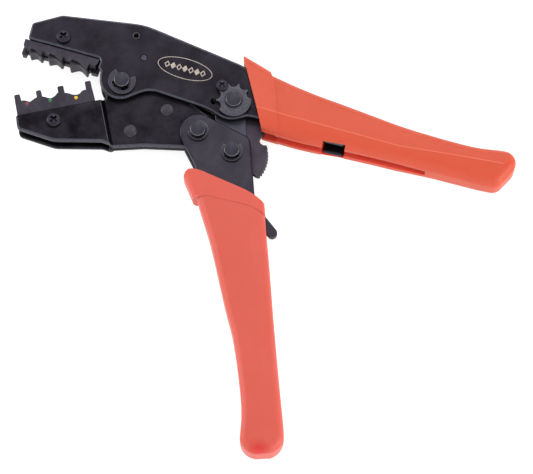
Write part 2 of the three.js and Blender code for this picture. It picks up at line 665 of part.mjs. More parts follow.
const LINK_RIVETS = [[9.6, 0.7], [14.8, 1]];
const LINK_OUTLINE = belt(0, 0, 6.5, 23.4, 1.7, 6.8);
// The adjuster pin's journal runs in this slot, so the link can follow the handle.
const LINK_SLOT = filleted([
  [19.85, -2.65, 2.65], [26.7, -2.65, 2.65], [26.7, 6.1, 2.65], [19.85, 6.1, 2.65],
]);

function linkPlate() {
  return extrude(LINK_OUTLINE, LINK_IN, LINK_OUT, [
    circle(0, 0, HOLE_R),
    LINK_SLOT,
    ...LINK_RIVETS.map(([x, y]) => circle(x, y, 1.6, 16)),
  ]);
}

function ratchetSector() {
  const crest = 15.9;
  const depth = 0.7;
  const first = -77.7;
  const pitch = 5.5;
  const teeth = [];
  for (let i = 0; i < 10; i += 1) {
    const angle = first - i * pitch;
    teeth.push(polar(crest, angle), polar(crest - depth, angle - pitch / 2));
  }
  const notch = polar(15, -62.7);
  const fan = [
    vec(14, -2), vec(27.06, -4.06), polar(18.07, -52.3), polar(16.5, -58.4),
    ...arc(notch.x, notch.y, 1.8, -62.7 + 75, -62.7 + 285, 8),
    ...teeth,
    polar(crest, -132.7), polar(15, -133.4), polar(13.2, -133.4), polar(6, -165), vec(0, 0),
  ];
  return cut(
    joined(
      extrude(LINK_OUTLINE, -SECTOR_HALF, SECTOR_HALF),
      extrude(fan, -SECTOR_HALF, SECTOR_HALF),
    ),
    drill([0, 0], HOLE_R, -9, 9, 28),
    extrude(LINK_SLOT, -9, 9),
    ...LINK_RIVETS.map((at) => drill(at, 1.6, -9, 9, 16)),
  );
}

add(link, 'front_link_plate', linkPlate(), MATERIALS.blackSteel);
add(link, 'rear_link_plate', mirrored(linkPlate()), MATERIALS.blackSteel);
add(link, 'ratchet_sector', ratchetSector(), MATERIALS.blackSteel);
LINK_RIVETS.forEach((at, i) => {
  add(link, `link_rivet_${i + 1}`, drill(at, 1.5, -LINK_OUT, LINK_OUT, 16), MATERIALS.pinSteel);
});

export default tool;
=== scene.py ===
"""Ratchet crimping tool for insulated terminals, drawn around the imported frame.

Shapes are written in millimetres, in the same local axes as the part's own groups,
about the middle plane of the tool's thickness. place() turns them into metres in the frame.
"""
import math

import bmesh
import bpy
from mathutils import Matrix, Vector
from mathutils.geometry import delaunay_2d_cdt, tessellate_polygon


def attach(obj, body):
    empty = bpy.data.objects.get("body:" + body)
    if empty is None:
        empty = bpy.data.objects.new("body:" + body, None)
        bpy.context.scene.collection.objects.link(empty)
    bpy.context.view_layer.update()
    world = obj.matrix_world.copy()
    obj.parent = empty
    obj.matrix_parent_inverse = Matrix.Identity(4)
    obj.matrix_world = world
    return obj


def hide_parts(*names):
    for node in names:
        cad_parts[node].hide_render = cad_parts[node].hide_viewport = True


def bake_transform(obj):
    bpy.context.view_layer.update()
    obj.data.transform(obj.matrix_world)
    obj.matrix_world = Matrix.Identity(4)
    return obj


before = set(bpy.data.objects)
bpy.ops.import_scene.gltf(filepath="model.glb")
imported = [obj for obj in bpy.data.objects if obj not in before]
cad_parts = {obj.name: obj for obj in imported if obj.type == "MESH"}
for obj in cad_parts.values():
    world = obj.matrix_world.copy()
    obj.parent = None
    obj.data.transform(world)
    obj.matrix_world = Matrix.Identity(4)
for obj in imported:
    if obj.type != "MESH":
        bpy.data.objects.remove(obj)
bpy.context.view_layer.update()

MM = 0.001
MID = 9.0                       # middle plane's height above the resting plane
JAW_OPEN = 28.0
HANDLE_REST = -62.5
JAW_PIN = (39.0, -12.6)
TOGGLE_PIN = (56.0, -17.6)
LINK_PIVOT = (50.0, 5.2)
LINK_ANGLE = math.degrees(math.atan2(LINK_PIVOT[1] - TOGGLE_PIN[1], LINK_PIVOT[0] - TOGGLE_PIN[0]))

PLATE_IN, PLATE_OUT = 3.1, 6.1  # frame and handle plates
JAW_IN, JAW_OUT = 0.05, 2.95
CHEEK_LIFT = 3.1                # how far the jaw plates step outwards at the die
PIN_R, HOLE_R = 3.1, 3.2
CLIP_NEAR, CLIP_T = 6.45, 0.7
WHEEL_TOP = 7.95
SCREW_HOLE_R = 2.1
SPACER_HOLE_R = 2.6
ROLL = 0.9                      # rounding of the heavy plates' edges
SMOOTH_ANGLE = math.radians(40)


def turn(x, y, degrees, cx=0.0, cy=0.0):
    c, s = math.cos(math.radians(degrees)), math.sin(math.radians(degrees))
    return (cx + x * c - y * s, cy + x * s + y * c)


PAWL_LOCAL = (35.6, 12.4)
GROUPS = {                      # body: x, y, angle of the group's own axes
    "frame": (0.0, 0.0, 0.0),
    "lower_jaw": (0.0, 0.0, JAW_OPEN),
    "moving_handle": (*JAW_PIN, HANDLE_REST),
    "toggle_link": (*TOGGLE_PIN, LINK_ANGLE),
    "ratchet_pawl": (*turn(*PAWL_LOCAL, HANDLE_REST, *JAW_PIN), HANDLE_REST),
}
TOGGLE = turn(TOGGLE_PIN[0] - JAW_PIN[0], TOGGLE_PIN[1] - JAW_PIN[1], -HANDLE_REST)
JAW_PIN_CLOSED = turn(*JAW_PIN, -JAW_OPEN)


# ---- outlines
def arc(cx, cy, r, start, end, step=6.0):
    n = max(2, math.ceil(abs(end - start) / step))
    return [(cx + r * math.cos(math.radians(start + (end - start) * k / n)),
             cy + r * math.sin(math.radians(start + (end - start) * k / n))) for k in range(n + 1)]


def circle(cx, cy, r, n=48):
    return arc(cx, cy, r, 0, 360, 360 / n)[:-1]


def polar(r, angle):
    return (r * math.cos(math.radians(angle)), r * math.sin(math.radians(angle)))


def filleted(corners, step=6.0):
    """Corners are (x, y) or (x, y, fillet radius)."""
    points = []
    for i, corner in enumerate(corners):
        x, y = corner[:2]
        r = corner[2] if len(corner) > 2 else 0
        if not r:
            points.append((x, y))
            continue
        before, after = corners[i - 1], corners[(i + 1) % len(corners)]
        here = Vector((x, y))
        u = (Vector(before[:2]) - here).normalized()
        v = (Vector(after[:2]) - here).normalized()
        half = math.acos(max(-1, min(1, u.dot(v)))) / 2
        centre = here + (u + v).normalized() * (r / math.sin(half))
        a = here + u * (r / math.tan(half)) - centre
        b = here + v * (r / math.tan(half)) - centre
        sweep = math.degrees(math.atan2(a.x * b.y - a.y * b.x, a.dot(b)))
        n = max(2, math.ceil(abs(sweep) / step))
        for k in range(n + 1):
            points.append(turn(a.x, a.y, sweep * k / n, centre.x, centre.y))
    return points


def spline(points, per_span=6):
    """A Catmull-Rom curve through the points, ends included."""
    out = []
    for i in range(len(points) - 1):
        p0 = points[max(i - 1, 0)]
        p1, p2 = points[i], points[i + 1]
        p3 = points[min(i + 2, len(points) - 1)]
        for k in range(per_span):
            t = k / per_span
            out.append(tuple(
                0.5 * (2 * b + (c - a) * t + (2 * a - 5 * b + 4 * c - d) * t * t
                       + (3 * b - a - 3 * c + d) * t ** 3)
                for a, b, c, d in zip(p0, p1, p2, p3)))
    out.append(tuple(points[-1]))
    return out


def belt(ax, ay, ar, bx, by, br):
    angle = math.degrees(math.atan2(by - ay, bx - ax))
    lean = math.degrees(math.acos((ar - br) / math.hypot(bx - ax, by - ay)))
    return arc(ax, ay, ar, angle + lean, angle + 360 - lean) + arc(bx, by, br, angle - lean, angle + lean)


# ---- materials
def material(name):
    mat = bpy.data.materials.new(name)
    mat.use_nodes = True
    tree = mat.node_tree
    return mat, tree, tree.nodes["Principled BSDF"]


def node(tree, kind, **values):
    made = tree.nodes.new(kind)
    for key, value in values.items():
        if key in made.inputs:
            made.inputs[key].default_value = value
        else:
            setattr(made, key, value)
    return made


def ramp(tree, source, stops):
    made = tree.nodes.new("ShaderNodeValToRGB")
    tree.links.new(source, made.inputs["Fac"])
    elements = made.color_ramp.elements
    while len(elements) < len(stops):
        elements.new(0.5)
    for element, (position, colour) in zip(elements, stops):
        element.position = position
        element.color = (*colour, 1)
    return made.outputs["Color"]


def grey(v):
    return (v, v, v)


def noise(tree, coords, scale, detail=4.0, roughness=0.55):
    made = node(tree, "ShaderNodeTexNoise", Scale=scale, Detail=detail, Roughness=roughness)
    tree.links.new(coords, made.inputs["Vector"])
    return made.outputs["Fac"]


def bump(tree, shader, heights):
    """heights is a list of (socket, strength, distance in mm), each on top of the last."""
    normal = None
    for height, strength, distance in heights:
        made = node(tree, "ShaderNodeBump", Strength=strength, Distance=distance * MM)
        tree.links.new(height, made.inputs["Height"])
        if normal:
            tree.links.new(normal, made.inputs["Normal"])
        normal = made.outputs["Normal"]
    tree.links.new(normal, shader.inputs["Normal"])


def steel(name, dark, light, rough, grain=0.25, worn=None):
    """Oxidised steel: mottled tone and fine grain. worn is a bare colour that shows in patches."""
    mat, tree, shader = material(name)
    coords = node(tree, "ShaderNodeTexCoord").outputs["Object"]
    cloud = noise(tree, coords, 110, 5, 0.6)
    stops = [(0.35, dark), (0.65, light)]
    if worn:
        stops += [(0.78, worn)]
        cloud = noise(tree, coords, 900, 4, 0.7)
    shader.inputs["Metallic"].default_value = 1.0
    tree.links.new(ramp(tree, cloud, stops), shader.inputs["Base Color"])
    smear = noise(tree, coords, 420, 6, 0.7)
    tree.links.new(ramp(tree, smear, [(0.3, grey(rough - 0.06)), (0.75, grey(rough + 0.08))]),
                   shader.inputs["Roughness"])
    fine = noise(tree, coords, 2600, 3, 0.6)
    bump(tree, shader, [(fine, grain, 0.02), (smear, grain * 0.6, 0.03)])
    return mat


def turned_steel(name, dark, light, rough):
    """Machined round parts: fine rings about the piece's own axis."""
    mat, tree, shader = material(name)
    coords = node(tree, "ShaderNodeTexCoord").outputs["Object"]
    split = tree.nodes.new("ShaderNodeSeparateXYZ")
    tree.links.new(coords, split.inputs[0])
    flat = tree.nodes.new("ShaderNodeCombineXYZ")
    tree.links.new(split.outputs["X"], flat.inputs["X"])
    tree.links.new(split.outputs["Y"], flat.inputs["Y"])
    rings = node(tree, "ShaderNodeTexWave", wave_type="RINGS", rings_direction="SPHERICAL",
                 Scale=520, Distortion=0.6)
    tree.links.new(flat.outputs[0], rings.inputs["Vector"])
    cloud = noise(tree, coords, 380, 4, 0.6)
    tree.links.new(ramp(tree, cloud, [(0.35, dark), (0.7, light)]), shader.inputs["Base Color"])
    shader.inputs["Metallic"].default_value = 1.0
    smear = noise(tree, coords, 900, 3)
    tree.links.new(ramp(tree, smear, [(0.3, grey(rough - 0.05)), (0.75, grey(rough + 0.08))]),
                   shader.inputs["Roughness"])
    fine = noise(tree, coords, 2500, 3)
    bump(tree, shader, [(rings.outputs["Fac"], 0.10, 0.02), (fine, 0.15, 0.015)])
    return mat


# Painted shade at the lower grip's end: the colour turns a deeper red within these distances of its centre.
END_SHADE_FADE = (1.5 * MM, 5.5 * MM)
END_SHADE_RED = (0.50, 0.030, 0.022, 1)


def with_end_shade(tree, coords, colour, centre):
    """The colour, with painted shade turning it a deeper red around a centre."""
    reach = node(tree, "ShaderNodeVectorMath", operation="DISTANCE")
    tree.links.new(coords, reach.inputs[0])
    reach.inputs[1].default_value = centre
    fade = node(tree, "ShaderNodeMapRange")
    tree.links.new(reach.outputs["Value"], fade.inputs["Value"])
    fade.inputs["From Min"].default_value, fade.inputs["From Max"].default_value = END_SHADE_FADE
    fade.inputs["To Min"].default_value, fade.inputs["To Max"].default_value = 1.0, 0.0
    deeper = node(tree, "ShaderNodeMix", data_type="RGBA")
    colour_a, colour_b = [socket for socket in deeper.inputs if socket.type == "RGBA"]
    tree.links.new(fade.outputs["Result"], deeper.inputs["Factor"])
    tree.links.new(colour, colour_a)
    colour_b.default_value = END_SHADE_RED
    return next(socket for socket in deeper.outputs if socket.type == "RGBA")


def vinyl(name, low, high, deep_at=None):
    """Soft dipped plastic, slightly translucent, with painted shade making it a deeper red around deep_at
    where that is given.
    """
    mat, tree, shader = material(name)
    coords = node(tree, "ShaderNodeTexCoord").outputs["Object"]
    cloud = noise(tree, coords, 28, 3)
    colour = ramp(tree, cloud, [(0.3, low), (0.7, high)])
    if deep_at:
        colour = with_end_shade(tree, coords, colour, deep_at)
    tree.links.new(colour, shader.inputs["Base Color"])
    smear = noise(tree, coords, 160, 5, 0.6)
    tree.links.new(ramp(tree, smear, [(0.3, grey(0.40)), (0.75, grey(0.50))]), shader.inputs["Roughness"])
    shader.inputs["Specular IOR Level"].default_value = 0.3
    shader.inputs["Subsurface Weight"].default_value = 0.4
    shader.inputs["Subsurface Radius"].default_value = (1.0, 0.15, 0.06)
    shader.inputs["Subsurface Scale"].default_value = 4 * MM
    grainy = noise(tree, coords, 2200, 2, 0.5)
    wavy = noise(tree, coords, 60, 2, 0.5)
    bump(tree, shader, [(wavy, 0.10, 0.25), (grainy, 0.16, 0.02)])
    return mat


def paint(name, colour, rough=0.5):
    mat, tree, shader = material(name)
    coords = node(tree, "ShaderNodeTexCoord").outputs["Object"]
    patch = noise(tree, coords, 1500, 4)
    dull = tuple(c * 0.55 for c in colour)
    tree.links.new(ramp(tree, patch, [(0.35, dull), (0.6, colour)]), shader.inputs["Base Color"])
    shader.inputs["Roughness"].default_value = rough
    bump(tree, shader, [(patch, 0.3, 0.03)])
    return mat


def paper(name):
    mat, tree, shader = material(name)
    coords = node(tree, "ShaderNodeTexCoord").outputs["Object"]
    cloud = noise(tree, coords, 3, 2)
    tree.links.new(ramp(tree, cloud, [(0.3, grey(0.38)), (0.7, grey(0.41))]), shader.inputs["Base Color"])
    shader.inputs["Roughness"].default_value = 0.9
    shader.inputs["Emission Color"].default_value = (1.0, 1.0, 1.0, 1)
    shader.inputs["Emission Strength"].default_value = 0.8
    return mat


# A finish lists the material of its faces, then that of its rounded edges where they differ. The edge
# materials are lighter than the faces: a painted highlight along the edges, with worn bare patches besides.
BLACK = (steel("black_oxide", (0.014, 0.012, 0.016), (0.024, 0.021, 0.028), 0.42),
         steel("black_oxide_edge_highlight", (0.058, 0.058, 0.072), (0.080, 0.080, 0.098), 0.42,
               worn=(0.15, 0.14, 0.15)))
JAW = (steel("jaw_oxide", (0.007, 0.006, 0.008), (0.022, 0.019, 0.025), 0.40), BLACK[1])
# The handle's edge material is darker than its faces: painted shade along the handle plates' and the pawl's
# edges, with worn patches besides.
HANDLE = (steel("blued_steel", (0.031, 0.027, 0.037), (0.045, 0.040, 0.052), 0.46),
          steel("blued_steel_edge_shade", (0.026, 0.025, 0.033), (0.040, 0.038, 0.048), 0.42,
                worn=(0.08, 0.07, 0.07)))
LINK = (steel("link_steel", (0.043, 0.043, 0.060), (0.060, 0.061, 0.080), 0.44),
        steel("link_steel_edge_highlight", (0.07, 0.074, 0.09), (0.09, 0.095, 0.112), 0.40,
              worn=(0.16, 0.16, 0.17)))
SECTOR = (steel("sector_steel", (0.038, 0.031, 0.041), (0.058, 0.048, 0.062), 0.48),
          steel("sector_steel_edge_highlight", (0.11, 0.10, 0.12), (0.15, 0.135, 0.155), 0.40,
                worn=(0.24, 0.22, 0.22)))
DIE = (steel("die_steel", (0.034, 0.030, 0.040), (0.054, 0.048, 0.061), 0.50, grain=0.45),
       steel("die_steel_edge_highlight", (0.080, 0.074, 0.085), (0.11, 0.10, 0.11), 0.42, grain=0.45,
             worn=(0.20, 0.165, 0.155)))
# The pins' edge material paints a highlight on their chamfers.
PIN = (turned_steel("pin_steel", (0.026, 0.025, 0.034), (0.042, 0.041, 0.053), 0.42),
       turned_steel("pin_steel_edge_highlight", (0.10, 0.098, 0.115), (0.15, 0.14, 0.15), 0.36))
RIVET = (turned_steel("rivet_steel", (0.046, 0.043, 0.050), (0.070, 0.066, 0.074), 0.50),)
CLIP = (steel("clip_steel", (0.032, 0.032, 0.042), (0.050, 0.050, 0.063), 0.40),
        steel("clip_steel_edge_highlight", (0.09, 0.085, 0.09), (0.13, 0.115, 0.115), 0.36,
              worn=(0.2, 0.165, 0.15)))
WHEEL = (steel("wheel_steel", (0.050, 0.049, 0.060), (0.074, 0.070, 0.084), 0.44, grain=0.35,
               worn=(0.105, 0.082, 0.076)),
         steel("wheel_steel_edge_highlight", (0.10, 0.098, 0.115), (0.14, 0.13, 0.14), 0.38,
               worn=(0.24, 0.19, 0.16)))
WIRE = (steel("spring_wire", (0.34, 0.34, 0.35), (0.46, 0.46, 0.47), 0.28, grain=0.1),)
# The coral vinyl's second material is a painted highlight on the bevelled edges and along the ridge, and
# its third, brighter, paints light onto the shaded floor of the openings.
VINYL = (vinyl("coral_vinyl", (0.50, 0.062, 0.023), (0.53, 0.070, 0.030)),
         vinyl("coral_vinyl_edge_highlight", (0.56, 0.120, 0.070), (0.60, 0.140, 0.085)),
         vinyl("coral_vinyl_slot_glow", (0.70, 0.060, 0.035), (0.74, 0.070, 0.045)))
# The lower grip is the same coral vinyl, tinted paler and pinker as a painted sheen, with painted shade
# deepening its end; its second material is a painted highlight on the bevelled edges.
SLEEVE_END = (*(c * MM for c in turn(145.8, -0.9, HANDLE_REST)), 7 * MM)
SHEENED_VINYL = (vinyl("coral_vinyl_sheened", (0.50, 0.074, 0.049), (0.53, 0.084, 0.058), SLEEVE_END),
              vinyl("coral_vinyl_sheened_edge_highlight", (0.56, 0.130, 0.095), (0.60, 0.150, 0.110)))
ETCH = (paint("etched_mark", (0.42, 0.36, 0.31), 0.6),)


# ---- mesh tools
def mesh_object(name, bm, finish):
    bmesh.ops.recalc_face_normals(bm, faces=bm.faces)
    mesh = bpy.data.meshes.new(name)
    bm.to_mesh(mesh)
    bm.free()
    for mat in finish:
        mesh.materials.append(mat)
    obj = bpy.data.objects.new(name, mesh)
    bpy.context.scene.collection.objects.link(obj)
    return smoothed(obj)


def smoothed(obj):
    obj.data.shade_smooth()
    obj.data.set_sharp_from_angle(angle=SMOOTH_ANGLE)
    if "normals" not in obj.modifiers:
        obj.modifiers.new("normals", "WEIGHTED_NORMAL").keep_sharp = True
    return obj


def applied(obj):
    mesh = bpy.data.meshes.new_from_object(obj.evaluated_get(bpy.context.evaluated_depsgraph_get()))
    obj.modifiers.clear()
    obj.data = mesh
    return obj


def signed_area(loop):
    return sum(a[0] * b[1] - b[0] * a[1] for a, b in zip(loop, loop[1:] + loop[:1])) / 2


def inset(loop, distance):
    """The loop moved sideways by distance, to its left."""
    out = []
    n = len(loop)
    for i in range(n):
        p, q, r = Vector(loop[i - 1]), Vector(loop[i]), Vector(loop[(i + 1) % n])
        e, f = (q - p).normalized(), (r - q).normalized()
        m = Vector((-e.y - f.y, e.x + f.x))
        scale = 2 / max(m.length_squared, 0.5)
        out.append((q.x + m.x * scale * distance, q.y + m.y * scale * distance))
    return out


def distinct(loop):
    kept = [p for i, p in enumerate(loop) if math.dist(p, loop[i - 1]) > 1e-4]
    return [tuple(p) for p in kept]


HOLE_ROLL_SHARE = 0.2


def prism(outline, z0, z1, holes=(), roll=0.0, steps=3):
    """A slab between two heights. Its long edges are rounded by roll, the upper one in material 1, the
    finish's edge colour, which paints a highlight along it (painted shade on the handle plates).

    Holes keep a tighter corner than the outline.
    """
    bm = bmesh.new()
    outline = distinct(outline)
    loops = [outline if signed_area(outline) > 0 else outline[::-1]]
    loops += [h[::-1] if signed_area(h) > 0 else list(h) for h in map(distinct, holes)]
    levels = [(z0, 0.0), (z1, 0.0)]
    if roll:
        turn_in = [(roll * (1 - math.sin(math.pi / 2 * k / steps)),
                    roll * (1 - math.cos(math.pi / 2 * k / steps))) for k in range(steps + 1)]
        levels = [(z0 + h, d) for d, h in turn_in] + [(z1 - h, d) for d, h in reversed(turn_in)]
    rings = []
    for loop in loops:
        share = 1.0 if loop is loops[0] else HOLE_ROLL_SHARE
        rings.append([[bm.verts.new((x, y, z)) for x, y in (inset(loop, d * share) if d else loop)]
                      for z, d in levels])
    for ring in rings:
        for k, (low, high) in enumerate(zip(ring, ring[1:])):
            upper_roll = roll > 0 and ring is rings[0] and k >= len(levels) // 2
            for i in range(len(low)):
                j = (i + 1) % len(low)
                face = bm.faces.new((low[i], low[j], high[j], high[i]))
                face.material_index = int(upper_roll)
    for level, flip in ((0, True), (-1, False)):
        flat = [v for ring in rings for v in ring[level]]
        for tri in tessellate_polygon([[v.co for v in ring[level]] for ring in rings]):
            bm.faces.new([flat[i] for i in (reversed(tri) if flip else tri)])
    return bm


def lathe(profile, n=64, cx=0.0, cy=0.0):
    """(radius, z) pairs from axis to axis, or a closed loop of them for a tube, turned about Z."""
    bm = bmesh.new()
    rings = []
    for r, z in profile:
        if r < 1e-6:
            rings.append([bm.verts.new((cx, cy, z))])
        else:
            rings.append([bm.verts.new((cx + r * math.cos(2 * math.pi * k / n),
                                        cy + r * math.sin(2 * math.pi * k / n), z)) for k in range(n)])
    for a, b in zip(rings, rings[1:]):
        for k in range(n):
            j = (k + 1) % n
            if len(a) == 1 and len(b) > 1:
                bm.faces.new((a[0], b[j], b[k]))
            elif len(b) == 1 and len(a) > 1:
                bm.faces.new((a[k], a[j], b[0]))
            elif len(a) > 1:
                bm.faces.new((a[k], a[j], b[j], b[k]))
    bmesh.ops.remove_doubles(bm, verts=bm.verts, dist=1e-4)
    return bm


def drill(at, r, z0=-10.0, z1=10.0, n=32):
    return lathe([(0, z0), (r, z0), (r, z1), (0, z1)], n, *at)


def box(x0, x1, y0, y1, z0, z1):
    return prism([(x0, y0), (x1, y0), (x1, y1), (x0, y1)], z0, z1)


def boolean(obj, cutters, operation="DIFFERENCE"):
    finish = list(obj.data.materials)
    for cutter in cutters:
        other = mesh_object("cutter", cutter, finish)
        obj.modifiers.clear()
        other.modifiers.clear()
        mod = obj.modifiers.new("cut", "BOOLEAN")
        mod.operation, mod.solver, mod.object = operation, "EXACT", other
        applied(obj)
        bpy.data.objects.remove(other)
    return smoothed(obj)


def bevelled(obj, width, segments=2, angle=30.0):
    """Edges sharper than angle are rounded, in material 1 where there is one: the finish's edge colour, a
    painted highlight (painted shade on the pawl).
    """
    bm = bmesh.new()
    bm.from_mesh(obj.data)
    bmesh.ops.remove_doubles(bm, verts=bm.verts, dist=2e-3)
    bmesh.ops.dissolve_limit(bm, angle_limit=math.radians(0.3), verts=bm.verts, edges=bm.edges,
                             delimit={"MATERIAL"})
    bm.to_mesh(obj.data)
    bm.free()
    obj.modifiers.clear()
    mod = obj.modifiers.new("bevel", "BEVEL")
    mod.width, mod.segments, mod.limit_method = width, segments, "ANGLE"
    mod.angle_limit = math.radians(angle)
    mod.use_clamp_overlap = True
    if len(obj.data.materials) > 1:
        mod.material = 1
    return smoothed(applied(obj))


def place(obj, body, slot, *nodes, at=(0.0, 0.0), spin=0.0):
    """Turns a millimetre drawing into metres in its group, with its origin at a point of it."""
    gx, gy, angle = GROUPS[body]
    x, y = turn(*at, angle, gx, gy)
    obj.data.transform(Matrix.Rotation(math.radians(angle + spin), 4, "Z") @ Matrix.Scale(MM, 4))
    obj.location = (x * MM, y * MM, MID * MM)
    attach(obj, body)
    if nodes:
        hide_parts(*nodes)
    return obj


def flipped(bm):
    """The same drawing on the other side of the middle plane."""
    bmesh.ops.scale(bm, verts=bm.verts, vec=(1, 1, -1))
    bmesh.ops.reverse_faces(bm, faces=bm.faces)
    return bm


# ---- frame plates
ANCHOR = (5.9, 13.6)
DIE_SCREW_TOP = (-31.4, 13.0)
LOCK_SCREW = (43.2, 10.1)
FRAME_SPACERS = ((80, 9.4), (148, 7.8))
SPARE_LOCK_HOLE = (41.6, 2.6)
TAB = (93.2, 102.4)             # stretch of the tang that shows in the sleeve's window
EYELET = (-0.6, 22.8)
EYELET_IN, EYELET_OUT = 1.0, 1.7
TANG_LOW = [(56.5, 0.4), (TAB[0], 1.0), (TAB[1], 1.2), (160.0, 3.6)]
TANG_HIGH = [(160.0, 12.0), (127.0, 12.6), (97.0, 15.2), (66.0, 18.2), (47.5, 23.0)]
BOSS_EDGE = spline([(-10.5, 0.7), (-9.5, -2.7), (-8.0, -5.0), (-6.0, -6.8), (-3.6, -7.9), (-0.9, -8.3),
                    (1.5, -7.9), (4.1, -6.7), (7.3, -4.1), (9.9, -2.0), (12.5, -0.7), (16.0, 0.0),
                    (22.2, -0.3), (32.4, -0.8), (38.6, -1.4), (43.6, -2.6), (46.6, -3.4), (49.6, -3.6),
                    (52.6, -2.8), (55.2, -1.3), (57.6, 0.1), (61.3, 0.5)], 4)


def frame_outline(tab_low):
    return filleted([
        (-46.4, 8, 1.2), (-12.2, 8, 1.8), (-12.4, 3.9, 1.2), (-10.8, 2.3, 1.0), *BOSS_EDGE,
        TANG_LOW[1], (TAB[0], tab_low, 0.6), (TAB[1], tab_low + 0.4, 1.2), TANG_LOW[2],
        (*TANG_LOW[3], 3), (*TANG_HIGH[0], 3), (*TANG_HIGH[1], 30), (*TANG_HIGH[2], 30),
        (*TANG_HIGH[3], 20), (*TANG_HIGH[4], 9), (1.5, 29.1, 30), (-35.2, 23, 4), (-46.9, 15.6, 2)])


FRAME_HOLES = [
    circle(0, 0, HOLE_R), circle(*LINK_PIVOT, HOLE_R), circle(*DIE_SCREW_TOP, SCREW_HOLE_R),
    circle(*ANCHOR, 1.5, 32), circle(*LOCK_SCREW, 1.6, 32), circle(*SPARE_LOCK_HOLE, 1.3, 32),
    circle(*EYELET, EYELET_OUT, 32), *(circle(*at, SPACER_HOLE_R, 32) for at in FRAME_SPACERS)]

front_plate = prism(frame_outline(-1.2), PLATE_IN, PLATE_OUT, FRAME_HOLES, ROLL, 4)
rear_plate = flipped(prism(frame_outline(-2.7), PLATE_IN, PLATE_OUT, FRAME_HOLES, ROLL, 4))
place(mesh_object("front_head_plate", front_plate, BLACK), "frame", "black_steel", "front_frame_plate")
place(mesh_object("rear_head_plate", rear_plate, BLACK), "frame", "black_steel", "rear_frame_plate")

eyelet_wall = [
    (EYELET_IN, -PLATE_OUT + 0.3), (EYELET_IN + 0.25, -PLATE_OUT), (EYELET_OUT, -PLATE_OUT),
    (EYELET_OUT, PLATE_OUT), (EYELET_IN + 0.25, PLATE_OUT), (EYELET_IN, PLATE_OUT - 0.3),
    (EYELET_IN, -PLATE_OUT + 0.3)]
place(mesh_object("head_eyelet", lathe(eyelet_wall, 40), RIVET), "frame", "pin_steel", at=EYELET)

# ---- jaw plates
DIE_SCREW_LOW = (-32.6, -12.0)
JAW_RIVETS = ((17.3, -15.8), (-0.6, -22.3))
SPRING_POST = (11.0, -2.0)
JAW_OUTLINE = filleted([
    (-48.7, -6.2, 1), (-49.1, -12.6, 2.5), (-34.4, -21.2, 10), (-14, -25.6, 4), (-9.8, -28.2),
    (4, -30.2, 20), (31.3, -37, 6), (41.0, -28.6, 8.0), (5.6, 8.4, 8.4), (-8.4, 8.4, 8.4),
    (-8.4, -4.5, 1.0), (-10.1, -6.2, 0.6)])


BEND_START, BEND_STEP, BEND_CUTS = -11.1, 0.2, 12


def jaw_plate():
    """A flat plate that steps outwards at the die along a soft double bend.

    The edge along the die keeps the faces' material, and the bend's outer corner takes the edges', a
    painted highlight.
    """
    holes = [circle(0, 0, HOLE_R), circle(*JAW_PIN_CLOSED, HOLE_R), circle(*DIE_SCREW_LOW, SCREW_HOLE_R)]
    bm = prism(JAW_OUTLINE, JAW_IN, JAW_OUT, holes, ROLL, 4)
    bm.normal_update()
    for face in bm.faces:
        if face.normal.y > 0.02 and face.calc_center_median().x < -9:
            face.material_index = 0
    bend = [BEND_START + BEND_STEP * k for k in range(BEND_CUTS)]
    for x in bend:
        bmesh.ops.bisect_plane(bm, geom=bm.verts[:] + bm.edges[:] + bm.faces[:],
                               plane_co=(x, 0, 0), plane_no=(1, 0, 0))
    for vert in bm.verts:
        t = max(0.0, min(1.0, (bend[-1] - vert.co.x) / (bend[-1] - bend[0])))
        vert.co.z += CHEEK_LIFT * t * t * (3 - 2 * t)
    # Painted highlight along the bend's outer corner.
    for face in bm.faces:
        if bend[0] - 0.3 < face.calc_center_median().x < bend[2]:
            face.material_index = 1
    return bm


def spring_pocket():
    return box(SPRING_POST[0] - 3.6, 20, SPRING_POST[1] - 2.4, 12, -1.9, 1.9)


for word, bm in (("front", jaw_plate()), ("rear", flipped(jaw_plate()))):
    plate = boolean(mesh_object(f"{word}_jaw", bm, JAW), [spring_pocket()])
    place(plate, "lower_jaw", "black_steel", f"{word}_jaw_plate")

# ---- dies
LOBES = ((-44.4, -38.4, 2.2, 3.3), (-35.6, -28.8, 2.0, 3.2), (-25.4, -16.9, 1.5, 3.3))
NESTS = (
    ((-44.9, 0.5), (-43.3, 0.2), (-41.6, -0.7), (-39.8, 0.1), (-38.5, 0.7)),
    ((-35.9, 0.7), (-34.6, 0.2), (-32.5, -0.9), (-30.4, -0.3), (-28.9, 1.0)),
    ((-25.7, 0.4), (-24.1, -0.2), (-21.9, -1.4), (-19.6, -1.4), (-17.9, -0.2), (-16.4, 0.0)))
POSTS = ((-48.0, -45.2, 3.7), (-38.25, -35.75, 3.8), (-28.6, -25.7, 3.9), (-16.3, -13.5, 3.8))
DIE_OUT, FLANGE_OUT = 4.8, 3.0
FRONT_ROOF = 4.4                # how deep the upper die is cut between its lobes, by layer
REAR_ROOFS = (3.7, 3.85, 3.7)
FRONT_LAYER, REAR_LAYER = 3.1, -1.2
DIE_EDGE = 0.14


def lobe_edge(left, right, tip, arch, roof):
    """A lobe that hangs from the roof, with an arch between its two tips."""
    middle = (left + right) / 2
    curve = spline([(left + 0.7, tip), (middle, arch), (right - 0.7, tip)], 6)
    return [(left, roof), (left + 0.1, tip + 0.3), *curve, (right - 0.1, tip + 0.3), (right, roof)]


def flared_edge(left, right, tip, arch, roof=FRONT_ROOF):
    """The lobe's front layer, where the nest opens wide towards its left."""
    sweep = spline([(left + 0.5, roof - 0.15), ((left + right) / 2 - 0.3, arch + 0.55),
                    (right - 1.3, tip + 0.75), (right - 0.6, tip + 0.1)], 6)
    return [(left, roof), *sweep, (right - 0.15, tip + 0.4), (right, roof)]


